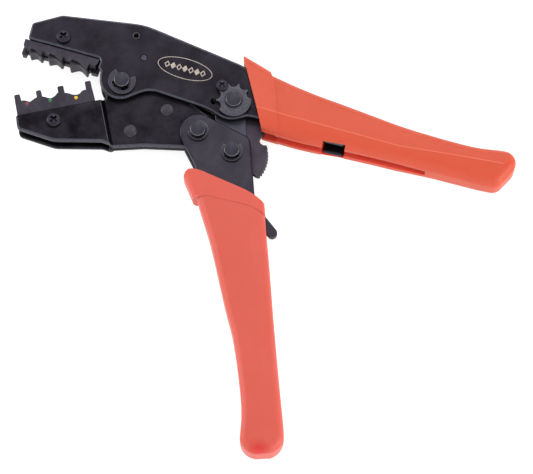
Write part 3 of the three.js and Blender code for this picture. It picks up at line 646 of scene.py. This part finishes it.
def upper_die():
    face = [(-47.7, 7.8), (-47.6, 4.9), (-47.0, 4.3)]
    front = list(face)
    rear = [(-48.4, 7.8), (-48.4, 3.0), (-48.0, 2.4), (-46.4, 2.4), (-46.1, 4.3)]
    for lobe, roof in zip(LOBES, REAR_ROOFS):
        face += flared_edge(*lobe)
        front += lobe_edge(*lobe, FRONT_ROOF)
        rear += lobe_edge(*lobe, roof)
    right_end = [(-14.0, FRONT_ROOF), (-13.4, 5.2), (-12.9, 7.8)]
    face += right_end
    front += right_end
    rear += [(-16.3, 3.85), (-15.9, 2.9), (-13.2, 2.9), (-12.9, 3.4), (-12.9, 7.8)]
    flange = filleted([(-45.6, 6.5), (-13.4, 6.5), (-13.8, 15.2, 1.5), (-21, 19.4, 3),
                       (-38.8, 19.4, 3), (-45.6, 14.5, 2)])
    body = boolean(mesh_object("upper_crimp_die", prism(front, REAR_LAYER, FRONT_LAYER), DIE),
                   [prism(face, FRONT_LAYER, DIE_OUT), prism(rear, -DIE_OUT, REAR_LAYER),
                    prism(flange, -FLANGE_OUT, FLANGE_OUT)], "UNION")
    return bevelled(boolean(body, [drill(DIE_SCREW_TOP, SCREW_HOLE_R)]), DIE_EDGE)


def lower_die():
    bed = [(-48.0, -6.0), (-48.0, 0.5)]
    for nest in NESTS:
        bed += spline(nest, 4)
    bed += [(-13.5, 0.0), (-13.2, -4.6), (-14.0, -6.0)]
    flange = filleted([(-46, -5), (-13.3, -5), (-13.3, -17.5, 2), (-18, -21.6, 3), (-31, -19.4, 4),
                       (-46, -12, 3)])
    posts = [prism(filleted([(a, -2), (b, -2), (b - 0.1, top, 0.6), (a + 0.1, top, 0.6)], 30),
                   -0.9, DIE_OUT) for a, b, top in POSTS]
    body = boolean(mesh_object("lower_crimp_die", prism(bed, -DIE_OUT, DIE_OUT), DIE),
                   [*posts, prism(flange, -FLANGE_OUT, FLANGE_OUT)], "UNION")
    return bevelled(boolean(body, [drill(DIE_SCREW_LOW, SCREW_HOLE_R)]), DIE_EDGE)


place(upper_die(), "frame", "die_steel", "upper_die")
place(lower_die(), "lower_jaw", "die_steel", "lower_die")

for word, at, colour in (("red", (-42.85, -1.5), (0.22, 0.025, 0.025)),
                         ("green", (-32.6, -1.9), (0.025, 0.19, 0.07)),
                         ("yellow", (-21.2, -2.9), (0.85, 0.50, 0.01))):
    drop = lathe([(0, 4.7), (0.78, 4.7), (0.78, 4.82), (0.55, 4.92), (0.0, 4.95)], 24)
    place(mesh_object(f"{word}_dot", drop, (paint(f"{word}_paint", colour),)), "lower_jaw", "die_steel",
          at=at)

# ---- pins, clips and screws
GROOVE_R = 2.5
HEAD_R, PIN_TOP = 3.4, 9.32


PIN_CHAMFER = 0.5


def pin_end(z, side, r=PIN_R):
    """The turned end of a pin: a rounded corner and a flat face."""
    return [(r - PIN_CHAMFER * (1 - math.cos(a)), z - side * PIN_CHAMFER * (1 - math.sin(a)))
            for a in (math.pi / 8 * k for k in range(5))] + [(0.0, z)]


def edged(bm):
    """Material 1, a painted highlight, on the rounded corners of a turned part."""
    bm.normal_update()
    for face in bm.faces:
        face.material_index = int(0.25 < abs(face.normal.z) < 0.98)
    return bm


def groove(reach, head_r=PIN_R):
    """The clip's groove, from the pin's end inwards. reach is its side, 1 or -1."""
    near, far = CLIP_NEAR - 0.1, CLIP_NEAR + CLIP_T + 0.1
    return [(head_r, far * reach), (GROOVE_R, far * reach), (GROOVE_R, near * reach), (PIN_R, near * reach)]


def grooved_pin(z_rear, z_front):
    return edged(lathe(pin_end(z_rear, -1)[::-1] + groove(-1) + groove(1, HEAD_R)[::-1]
                       + pin_end(z_front, 1, HEAD_R)))


def adjuster_pin():
    """Its journal carries the toggle link, and its head holds the star wheel down."""
    waist = [(PIN_R, -PLATE_IN), (2.4, -PLATE_IN), (2.4, PLATE_IN), (PIN_R, PLATE_IN)]
    head = [(PIN_R, 8.03), (4.1, 8.03), (4.15, 8.1), (4.05, 8.3), (3.5, 8.35), *pin_end(PIN_TOP, 1, 3.5)]
    return edged(lathe(pin_end(-8.5, -1)[::-1] + groove(-1) + waist + head))


def clip(outer, side):
    """An E-shaped ring: open towards +X, with three lugs that reach the pin's groove."""
    lug, ring = GROOVE_R + 0.08, min(outer - 1.2, 4.5)
    half = [*arc(0, 0, lug, 46, 108, 5), *arc(0, 0, ring, 116, 160, 5), *arc(0, 0, lug, 166, 180, 5)]
    inner = half + [(x, -y) for x, y in half[-2::-1]]
    outline = [*arc(0, 0, outer, 312, 48, 5), *inner]
    bm = prism(outline, CLIP_NEAR, CLIP_NEAR + CLIP_T, (), 0.16, 2)
    return bm if side > 0 else flipped(bm)


for name, body, at, z_rear, clip_r, opening, prefix in (
        ("main_pivot_pin", "frame", (0, 0), -9.0, 6.15, 85, "main_pin"),
        ("jaw_pin", "moving_handle", (0, 0), -8.5, 4.65, 155, "jaw_pin"),
        ("toggle_pin", "moving_handle", TOGGLE, -8.5, 4.8, 106, "toggle_pin")):
    place(mesh_object(f"{name}_turned", grooved_pin(z_rear, PIN_TOP), PIN), body, "pin_steel", name, at=at)
    for side, word in ((1, "front"), (-1, "rear")):
        place(mesh_object(f"{prefix}_{word}_e_clip", clip(clip_r, side), CLIP), body, "pin_steel",
              f"{prefix}_{word}_clip", at=at, spin=opening - GROUPS[body][2])

place(mesh_object("adjuster_pin_turned", adjuster_pin(), PIN), "frame", "pin_steel", "adjuster_pin",
      at=LINK_PIVOT)
place(mesh_object("adjuster_e_clip", clip(5.0, -1), CLIP), "frame", "pin_steel", "adjuster_pin_clip",
      at=LINK_PIVOT, spin=75)


def star_wheel():
    """A disc with six round notches a tenth of a turn apart, for the lock screw's head."""
    outer, notch_at, notch_r = 7.75, 8.35, 2.3
    on_disc = math.degrees(math.acos((outer ** 2 + notch_at ** 2 - notch_r ** 2) / (2 * outer * notch_at)))
    on_notch = math.degrees(math.acos(
        (notch_at ** 2 + notch_r ** 2 - outer ** 2) / (2 * notch_at * notch_r)))
    angles = [35.5 + 36 * k for k in range(6)]
    outline = []
    for angle in angles:
        x, y = turn(notch_at, 0, angle)
        outline += arc(x, y, notch_r, angle + 180 + on_notch, angle + 180 - on_notch, 9)
    outline += arc(0, 0, outer, angles[-1] + on_disc, angles[0] + 360 - on_disc, 4)[1:-1]
    return prism(outline, PLATE_OUT + 0.05, WHEEL_TOP, [circle(0, 0, HOLE_R)], 0.14, 2)


place(mesh_object("star_wheel", star_wheel(), WHEEL), "frame", "pin_steel", "adjusting_wheel",
      at=LINK_PIVOT)


def cross_screw(name, head_r, head_z, head_h, shank_r, shank_end):
    """A pan head whose cross recess narrows towards its floor."""
    head = [(0, shank_end), (shank_r, shank_end), (shank_r, head_z), (head_r - 0.12, head_z),
            (head_r, head_z + 0.12)]
    head += [(head_r * math.cos(a) ** 0.8, head_z + head_h * (0.42 + 0.58 * math.sin(a) ** 0.9))
             for a in (math.pi / 2 * k / 10 for k in range(10))]
    head += [(0, head_z + head_h)]
    arm, slit, tip = 0.62 * head_r, 0.19 * head_r, 0.17 * head_r
    cross = [(arm, tip), (slit, slit), (tip, arm), (-tip, arm), (-slit, slit), (-arm, tip),
             (-arm, -tip), (-slit, -slit), (-tip, -arm), (tip, -arm), (slit, -slit), (arm, -tip)]
    recess = prism(cross, head_z + 0.12 * head_h, head_z + 1.3 * head_h)
    for vert in recess.verts:
        if vert.co.z < head_z + head_h / 2:
            vert.co.x *= 0.7
            vert.co.y *= 0.7
    return boolean(mesh_object(name, lathe(head, 48), PIN), [recess])


place(cross_screw("upper_die_cross_screw", 3.2, 6.15, 2.0, 2.0, -PLATE_OUT), "frame", "pin_steel",
      "upper_die_screw", at=DIE_SCREW_TOP, spin=60)
place(cross_screw("lower_die_cross_screw", 3.2, 6.1, 2.0, 2.0, -PLATE_OUT), "lower_jaw", "pin_steel",
      "lower_die_screw", at=DIE_SCREW_LOW, spin=33)
place(cross_screw("wheel_cross_screw", 2.6, 8.05, 1.3, 1.5, 3.2), "frame", "pin_steel",
      "wheel_lock_screw", at=LOCK_SCREW, spin=60)


def plain_pin(r, reach, proud=0.0):
    """A chamfered pin. Its front end stands proud by that much."""
    half = [(r, reach + proud - 0.2), (r - 0.2, reach + proud), (0, reach + proud)]
    return lathe([(0, -reach), (r - 0.2, -reach), (r, -reach + 0.2), *half], 40)


def rivet():
    dome = [(1.8, 3.0), (3.02, 3.0), (3.05, 3.08), (2.95, 3.3), (2.6, 3.55), (2.0, 3.75), (1.1, 3.87),
            (0, 3.9)]
    return lathe([(r, -z) for r, z in dome[::-1]] + dome, 48)


def spacer():
    half = [(4, 2.8), (3.8, 3.05), (2.5, 3.05), (2.5, 5.9), (2.3, PLATE_OUT), (0, PLATE_OUT)]
    return lathe([(r, -z) for r, z in half[::-1]] + half, 40)


place(mesh_object("anchor_pin", plain_pin(1.4, PLATE_OUT, 0.3), LINK[:1]), "frame", "pin_steel",
      "spring_anchor_pin", at=ANCHOR)
place(mesh_object("spring_post_turned", plain_pin(1.0, JAW_OUT), PIN), "lower_jaw", "pin_steel",
      "spring_post", at=SPRING_POST)
for i, at in enumerate(JAW_RIVETS, 1):
    place(mesh_object(f"jaw_dome_rivet_{i}", rivet(), RIVET), "lower_jaw", "pin_steel",
          f"jaw_rivet_{i}", at=at)
for i, at in enumerate(FRAME_SPACERS, 1):
    place(mesh_object(f"frame_post_{i}", spacer(), PIN), "frame", "pin_steel", f"frame_spacer_{i}", at=at)

# ---- handle plates
SPRING_PIN = (54.0, 8.0)
HANDLE_SPACERS = ((66, 8), (112, 5.5))
HANDLE_HIGH = [(7.36, 21.8), (33, 18.9), (51, 17.3), (89, 13.4), (125, 9.3)]
HANDLE_LOW = [(125, 1.2), (95, 0.6), (66, -0.4), (45, -1.6), (30, -3.2), (17, -3.7)]
HANDLE_OUTLINE = filleted([
    (-8.1, -10.65, 8.1), (-8.1, 2.95, 8.1), (*HANDLE_HIGH[0], 4), *HANDLE_HIGH[1:-1],
    (*HANDLE_HIGH[-1], 3), (*HANDLE_LOW[0], 3), *HANDLE_LOW[1:]])
HANDLE_HOLES = [circle(0, 0, HOLE_R), circle(*TOGGLE, HOLE_R), circle(*PAWL_LOCAL, 2.0, 32),
                circle(*SPRING_PIN, 1.1, 24),
                *(circle(*at, SPACER_HOLE_R, 32) for at in HANDLE_SPACERS)]

for word, side in (("front", 1), ("rear", -1)):
    bm = prism(HANDLE_OUTLINE, PLATE_IN, PLATE_OUT, HANDLE_HOLES, ROLL, 4)
    plate = mesh_object(f"{word}_handle_head", bm if side > 0 else flipped(bm), HANDLE)
    place(plate, "moving_handle", "handle_steel", f"{word}_handle_plate")
place(mesh_object("pawl_pivot_pin", plain_pin(1.9, PLATE_OUT), PIN), "moving_handle", "pin_steel",
      "pawl_pin", at=PAWL_LOCAL)
place(mesh_object("pawl_spring_post", plain_pin(1.0, PLATE_OUT), PIN), "moving_handle", "pin_steel",
      "pawl_spring_pin", at=SPRING_PIN)
for i, at in enumerate(HANDLE_SPACERS, 1):
    place(mesh_object(f"handle_post_{i}", spacer(), PIN), "moving_handle", "pin_steel",
          f"handle_spacer_{i}", at=at)

# ---- link, sector, pawl
LINK_RIVETS = ((9.6, 0.7), (14.8, 1.0))
LINK_RIVET_R = 1.6
LINK_OUTLINE = belt(0, 0, 6.5, 23.4, 1.7, 6.8)
LINK_SLOT = filleted([(19.85, -2.65, 2.65), (26.7, -2.65, 2.65), (26.7, 6.1, 2.65), (19.85, 6.1, 2.65)])

for word, side in (("front", 1), ("rear", -1)):
    bm = prism(LINK_OUTLINE, 1.55, 2.95, [circle(0, 0, HOLE_R), LINK_SLOT], 0.3)
    plate = mesh_object(f"{word}_toggle_plate", bm if side > 0 else flipped(bm), LINK)
    plate = boolean(plate, [prism(circle(*at, LINK_RIVET_R, 24), -4, 4) for at in LINK_RIVETS])
    place(plate, "toggle_link", "black_steel", f"{word}_link_plate")
for i, at in enumerate(LINK_RIVETS, 1):
    flush = prism(circle(0, 0, LINK_RIVET_R, 24), -JAW_OUT, JAW_OUT)
    place(mesh_object(f"link_flush_rivet_{i}", flush, LINK[:1]), "toggle_link", "pin_steel",
          f"link_rivet_{i}", at=at)


def ratchet_sector():
    """The link's middle layer, with a toothed fan, a round notch above it and a plain tail."""
    crest, depth, first, pitch, count = 16.0, 1.1, -77.7, 5.5, 9
    teeth = []
    for k in range(count):
        angle = first - k * pitch
        teeth += [polar(crest, angle), polar(crest - depth, angle - pitch / 2)]
    notch_angle = -62.7
    notch = polar(16.1, notch_angle)
    fan = [(14, -2), (27.06, -4.06), polar(18.07, -51.5),
           *arc(*notch, 2.4, notch_angle + 100, notch_angle + 260, 12), *teeth,
           polar(15.8, -126.6), polar(15.2, -129.2), polar(14.2, -131.0), polar(12.6, -131.6),
           polar(6, -165), (0, 0)]
    body = boolean(mesh_object("toothed_sector", prism(LINK_OUTLINE, -1.5, 1.5), SECTOR),
                   [prism(fan, -1.5, 1.5)], "UNION")
    holes = [drill((0, 0), HOLE_R), prism(LINK_SLOT, -9, 9),
             *(drill(at, LINK_RIVET_R) for at in LINK_RIVETS)]
    return bevelled(boolean(body, holes), 0.12)


PAWL_EYE = (4.9, -2.9)


def pawl():
    """A lever with a nose for the teeth, an eye for its spring and a bent release tail."""
    blade = filleted([
        (-7.2, 1.7, 0.2), (-3.2, 0.2), (-3.2, -3.4, 3.2), (3, -5.6, 1.5), (7.2, -5.2, 2),
        (7.4, 0.6, 3), (9, 5.1, 5), (18.2, 9.95, 2.1), (16.25, 13.8, 2.1), (-1.6, 4.8, 12)])
    body = boolean(mesh_object("pawl_lever", prism(blade, -1.5, 1.5), HANDLE),
                   [drill((0, 0), 3.1, -2.95, 2.95, 36)], "UNION")
    return bevelled(boolean(body, [drill((0, 0), 2.0), drill(PAWL_EYE, 1.1)]), 0.2, 3)


place(ratchet_sector(), "toggle_link", "black_steel", "ratchet_sector")
place(pawl(), "ratchet_pawl", "handle_steel", "ratchet_pawl")


# ---- springs
WIRE_SIDES = 12


def swept(points, radius):
    """A round wire along a path, closed at both ends."""
    bm = bmesh.new()
    path = [Vector(p) for p in spline(points, 4)]
    tangent = (path[1] - path[0]).normalized()
    side = tangent.orthogonal().normalized()
    rings = []
    for i, p in enumerate(path):
        ahead = (path[min(i + 1, len(path) - 1)] - path[max(i - 1, 0)]).normalized()
        side = (tangent.rotation_difference(ahead) @ side).normalized()
        tangent = ahead
        up = tangent.cross(side)
        rings.append([bm.verts.new(p + radius * (math.cos(a) * side + math.sin(a) * up))
                      for a in (2 * math.pi * k / WIRE_SIDES for k in range(WIRE_SIDES))])
    for a, b in zip(rings, rings[1:]):
        for k in range(WIRE_SIDES):
            j = (k + 1) % WIRE_SIDES
            bm.faces.new((a[k], a[j], b[j], b[k]))
    bm.faces.new(rings[0][::-1])
    bm.faces.new(rings[-1])
    return bm


def hooked_spring(a, b, coil_r, wire_r, turns, hooks):
    """A coil from a to b with a round hook about each end. Hooks are (radius, stands along Z)."""
    start, end = Vector((*a, 0)), Vector((*b, 0))
    length = (end - start).length
    along = (end - start).normalized()
    across = Vector((-along.y, along.x, 0))
    points = []

    def add(s, off, rise):
        points.append(start + along * s + across * off + Vector((0, 0, rise)))

    def hook(centre, facing, r, standing, angles):
        for angle in angles:
            c, s = r * math.cos(math.radians(angle)), r * math.sin(math.radians(angle))
            add(centre + facing * c, 0 if standing else s, s if standing else 0)

    hook(0, 1, *hooks[0], [60 + 20 * k for k in range(13)])
    first, last = hooks[0][0] + 3 * wire_r, length - hooks[1][0] - 3 * wire_r
    for k in range(turns * 12 + 1):
        angle = math.pi + 2 * math.pi * k / 12
        add(first + (last - first) * k / (turns * 12), coil_r * math.cos(angle), coil_r * math.sin(angle))
    hook(length, -1, *hooks[1], [300 - 20 * k for k in range(13)])
    return swept([tuple(p) for p in points], wire_r)


def spring(name, bm, cad):
    obj = mesh_object(name, bm, WIRE)
    obj.data.transform(Matrix.Translation((0, 0, MID * MM)) @ Matrix.Scale(MM, 4))
    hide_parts(cad)
    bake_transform(obj)


def in_handle(x, y):
    return turn(x, y, HANDLE_REST, *JAW_PIN)


post_open = turn(*SPRING_POST, JAW_OPEN)
spring("return_spring", hooked_spring(ANCHOR, post_open, 1.45, 0.35, 6, ((1.85, False), (1.45, False))),
       "jaw_return_spring")

eye = (PAWL_LOCAL[0] + PAWL_EYE[0], PAWL_LOCAL[1] + PAWL_EYE[1])
reach = math.dist(eye, SPRING_PIN)
eye_hook = tuple(e + (p - e) * 2.1 / reach for e, p in zip(eye, SPRING_PIN))
coil_from, coil_to = in_handle(*eye_hook), in_handle(*SPRING_PIN)
spring("pawl_coil_spring", hooked_spring(coil_from, coil_to, 1.25, 0.3, 8, ((2.1, True), (1.4, False))),
       "pawl_spring")


# ---- sleeves
REAR_R = 3.2                    # rounding of the sleeves' long edges on the rear side
GRIP_CREST = 8.15
# How each sleeve falls away below and above its ridge, the front rounding, ridge line (a painted highlight
# strip), rear lip.
UPPER_FORM = (0.13, 0.07, 4.6, True, 0.9)
LOWER_FALLS = (0.06, 0.12)


def ridge_y(ridge, x):
    if x <= ridge[0][0]:
        return ridge[0][1]
    for (x0, y0), (x1, y1) in zip(ridge, ridge[1:]):
        if x <= x1:
            return y0 + (y1 - y0) * (x - x0) / (x1 - x0)
    return ridge[-1][1]


def moulded(outline, ridge, crest, fall_low, fall_high, front_r, line, rear_lip=0.0):
    """A body with rounded sides whose two broad faces each fall away from a ridge.

    line marks the ridge with a paler strip, a painted highlight. rear_lip widens the rear half's lower
    side, up to where the slot ends.
    """
    outline = distinct(outline)
    if signed_area(outline) < 0:
        outline = outline[::-1]

    def height(x, y):
        off = y - ridge_y(ridge, x)
        return crest - (fall_high * off if off > 0 else -fall_low * off)

    bm = bmesh.new()
    steps, n = 8, len(outline)
    waists = []
    for side, radius in ((1, front_r), (-1, REAR_R)):
        rings = []
        for k in range(steps + 1):
            a = math.pi / 2 * k / steps
            ring = inset(outline, radius * (1 - math.cos(a))) if k else outline
            drop = radius * (1 - math.sin(a))
            rings.append([bm.verts.new((x, y, side * (height(x, y) - drop))) for x, y in ring])
        for low, high in zip(rings, rings[1:]):
            for i in range(n):
                j = (i + 1) % n
                bm.faces.new((low[i], low[j], high[j], high[i]))
        inner = [v.co.xy.copy() for v in rings[-1]]
        points, edges = list(inner), [(i, (i + 1) % n) for i in range(n)]
        first, last = min(p.x for p in inner) + 0.6, max(p.x for p in inner) - 0.6
        stations = [first] + [x for x, _ in ridge if first + 1 < x < last - 1] + [last]
        for shift in (-0.2, 0.2):
            base = len(points)
            points += [Vector((x, ridge_y(ridge, x) + shift)) for x in stations]
            edges += [(base + k, base + k + 1) for k in range(len(stations) - 1)]
        flat, _, tris, *_ = delaunay_2d_cdt(points, edges, [], 1, 1e-5)
        lookup = {(round(v.co.x, 4), round(v.co.y, 4)): v for v in rings[-1]}
        verts = []
        for p in flat:
            key = (round(p.x, 4), round(p.y, 4))
            verts.append(lookup.get(key) or bm.verts.new((p.x, p.y, side * height(p.x, p.y))))
        for tri in tris:
            face = bm.faces.new([verts[i] for i in tri])
            middle = face.calc_center_median()
            # The strip along the ridge takes material 1: a painted highlight.
            face.material_index = int(line and abs(middle.y - ridge_y(ridge, middle.x)) < 0.15)
        waists.append(rings[0])
    for i in range(n):
        j = (i + 1) % n
        bm.faces.new((waists[1][i], waists[1][j], waists[0][j], waists[0][i]))
    loose = [v for v in bm.verts if not v.link_faces]
    bmesh.ops.delete(bm, geom=loose, context="VERTS")
    for vert in bm.verts:
        x, y, z = vert.co
        near_edge = max(0.0, min(1.0, (ridge_y(ridge, x) - y - 2) / 4))
        along = max(0.0, min(1.0, (142 - x) / 16))
        if z < 0:
            vert.co.y -= rear_lip * near_edge * along
    return bm


def sleeve(name, finish, grip, collar, step, mouth, cavity, openings):
    """A grip joined to its thicker collar, and hollowed. A third material, brighter to paint light into the
    shaded openings, goes on the openings' floor.
    """
    shell = boolean(mesh_object(name, collar, finish), [prism(step, -12, 12)])
    shell = boolean(shell, [grip], "UNION")
    shell = boolean(shell, [prism(mouth, -12, 12), prism(cavity, -6.25, 6.25), *openings])
    # Painted light: the openings' floor takes the third, brighter material, standing in for light glowing
    # through the vinyl into the shaded slot.
    for face in shell.data.polygons:
        if face.normal.z > 0.9 and face.center.z < 0 and len(finish) > 2:
            face.material_index = 2
    return bevelled(shell, 0.4, 3, 38)


UPPER_RIDGE = [(40.0, 4.8), (69.6, 4.8), (88.6, 4.9), (108.8, 5.0), (125.9, 5.1), (139.1, 6.7),
               (152.2, 8.2), (165.4, 9.6), (172.5, 10.2)]


def upper_sleeve():
    low = spline([(52, -3.9), (66.7, -3.8), (81, -4.0), (92, -3.4), (103.5, -2.2), (122, -1.3),
                  (139.4, -1.1), (152, -0.9)], 4)
    end = filleted([(163, -0.75), (171.8, -0.1, 4.9), (176.9, 10.3, 7), (176.2, 18.0, 5.4), (168.5, 17.1)])
    high = [(168.5, 17.1), (157.6, 15.4), (144.6, 15.1), (127.1, 15.5), (113.7, 16.6), (97.4, 18.2),
            (85.7, 19.2), (74.8, 20.6), (62.9, 22.7), (52, 25.0)]
    grip = [*low, *end, *spline(high, 4)]
    collar = [(48, -4.2), (56, -4.0), (67, -3.95), (80, -4.15), (80, 19.9), (74, 21.4), (61.4, 24.2),
              (56.3, 25.8), (51.1, 27.3), (40, 30.4)]
    step = [(74.6, -9), (73.2, -4.0), (71.7, 0.2), (69.7, 5.1), (67.9, 10.5), (63.7, 20.3), (62.2, 22.4),
            (60.6, 27), (90, 30), (90, -9)]
    mouth = filleted([(67.4, -7), (47.9, 26.8, 2.2), (49.6, 34), (20, 34), (20, -7)])
    cavity = [*((x, y - 0.2) for x, y in TANG_LOW), *((x, y + 0.2) for x, y in TANG_HIGH)]
    cavity[3] = (160.2, cavity[3][1])
    cavity[4] = (160.2, cavity[4][1])
    tab = (TAB[0] - 0.4, TAB[1] + 0.5)
    openings = [box(50, 72, -9, 4, -3, 3), box(70, 139.4, -9, 4, -2.2, 2.2),
                box(*tab, -9, 3, -6.25, 6.25), box(*tab, -9, -2.4, 0, 12)]
    return sleeve("upper_sleeve", VINYL, moulded(grip, UPPER_RIDGE, GRIP_CREST, *UPPER_FORM),
                  moulded(collar, UPPER_RIDGE, 8.6, *UPPER_FORM), step, mouth, cavity, openings)


LOWER_RIDGE = [(20.0, 16.0), (38.0, 14.5), (60.0, 12.6), (71.9, 12.5), (81.7, 11.5), (95.4, 9.8),
               (118.4, 6.2), (141.1, 2.2)]


def lower_sleeve():
    right = [(137, 11.4), (125.4, 12.5), (106.6, 14.4), (89.3, 16.3), (66.4, 19), (51.1, 20.6), (34, 22.7)]
    left = [(20, -6.6), (32.6, -5.7), (49.6, -4.0), (65.7, -3.4), (81, -3), (92.8, -2.3), (107, -2.8),
            (122.2, -4.1), (131, -5.6)]
    grip = [*spline(left, 4), *arc(139.6, -0.4, 7.4, -100, 0, 10), *arc(139.6, 3, 8, 5, 75, 9),
            *spline(right, 3), (24, 23.9)]
    collar = [(8, -12.4), (31.6, -7.4), (50, -4.4), (50, 20.9), (44.9, 21.5), (30, 23.3), (12, 25.6)]
    step = [(28.9, -12), (29.9, -5.8), (30.5, -1.2), (33.9, 5.5), (38.2, 14.5), (40.8, 18.4), (42.9, 20.5),
            (47, 26), (70, 26), (70, -12)]
    mouth = [(0, -16), (21.5, -16), (20.6, -10.6), (18.8, -9.8), (17.6, -8.8), (17.0, -7.6), (16.9, -6.4),
             (17.3, -5.0), (18.0, -3.5), (19.0, -1.8), (31.9, 15.7), (34.4, 18.5), (37.6, 21.4), (41, 24.5),
             (41, 40), (0, 40)]
    cavity = [*((x, y + 0.2) for x, y in HANDLE_HIGH), *((x, y - 0.2) for x, y in HANDLE_LOW), (8, -4.4)]
    cavity[4] = (125.2, cavity[4][1])
    cavity[5] = (125.2, cavity[5][1])
    return sleeve("lower_sleeve", SHEENED_VINYL,
                  moulded(grip, LOWER_RIDGE, GRIP_CREST, *LOWER_FALLS, 3.4, False),
                  moulded(collar, LOWER_RIDGE, 8.5, *LOWER_FALLS, 3.0, False), step, mouth, cavity,
                  [box(20, 108, 10, 30, -3, 3)])


place(upper_sleeve(), "frame", "coral_vinyl", "upper_grip")
place(lower_sleeve(), "moving_handle", "coral_vinyl", "lower_grip")

# ---- etched mark
MARK = (24.9, 13.8)
MARK_LOW, MARK_HIGH = 6.09, 6.13


def oval(rx, ry):
    return [(rx * math.cos(math.pi * k / 48), ry * math.sin(math.pi * k / 48)) for k in range(96)]


def lozenge(x, half_w, half_h):
    return [(x - half_w, 0), (x, -half_h), (x + half_w, 0), (x, half_h)]


# An oval with a row of lozenges, alternately hollow and filled.
mark = [prism(oval(12.55, 4.85), MARK_LOW, MARK_HIGH, [oval(12.25, 4.55)])]
for i in range(7):
    x = 2.75 * (i - 3)
    inner = [] if i % 2 else [lozenge(x, 0.75, 0.95)]
    mark.append(prism(lozenge(x, 1.3, 1.65), MARK_LOW, MARK_HIGH, inner))
for i, bm in enumerate(mark, 1):
    place(mesh_object(f"etched_mark_{i}", bm, ETCH), "frame", "black_steel", at=MARK)

# ---- floor, lights, camera
def floor():
    bm = bmesh.new()
    bmesh.ops.create_grid(bm, x_segments=1, y_segments=1, size=6)
    mesh_object("studio_floor", bm, (paper("white_floor"),))


floor()
world = bpy.data.worlds.new("studio")
bpy.context.scene.world = world
world.use_nodes = True
world.node_tree.nodes["Background"].inputs["Color"].default_value = (1.0, 1.0, 1.0, 1)
world.node_tree.nodes["Background"].inputs["Strength"].default_value = 1.0


def softbox(name, where, aim, width, height, power, colour=(1, 1, 1)):
    light = bpy.data.lights.new(name, "AREA")
    light.shape, light.size, light.size_y = "RECTANGLE", width, height
    light.energy, light.color = power, colour
    obj = bpy.data.objects.new(name, light)
    bpy.context.scene.collection.objects.link(obj)
    obj.location = where
    obj.rotation_mode = "QUATERNION"
    obj.rotation_quaternion = (Vector(aim) - Vector(where)).to_track_quat("-Z", "Y")


CENTRE = (0.065, -0.05, 0.0)
softbox("back", (-0.10, 0.75, 1.0), CENTRE, 1.2, 0.6, 6)
softbox("front_low", (0.15, -1.2, 0.28), CENTRE, 1.6, 0.4, 4, (0.92, 0.95, 1.0))
softbox("right_low", (1.15, -0.2, 0.28), CENTRE, 1.0, 0.4, 7)
softbox("left_low", (-1.15, -0.1, 0.35), CENTRE, 0.8, 0.4, 6)

camera = bpy.data.objects.new("camera", bpy.data.cameras.new("camera"))
bpy.context.scene.collection.objects.link(camera)
bpy.context.scene.camera = camera
camera.data.sensor_width, camera.data.lens = 36, 155.3
azimuth, elevation, distance = math.radians(16.55), math.radians(72), 1.0
back = Vector((math.sin(azimuth) * math.cos(elevation), -math.cos(azimuth) * math.cos(elevation),
               math.sin(elevation)))
camera.location = Vector((0.0812, -0.0491, 0.009)) + back * distance
camera.rotation_mode = "QUATERNION"
camera.rotation_quaternion = (-back).to_track_quat("-Z", "Y")
camera.data.clip_start, camera.data.clip_end = 0.05, 20
bpy.context.scene.view_settings.view_transform = "Standard"
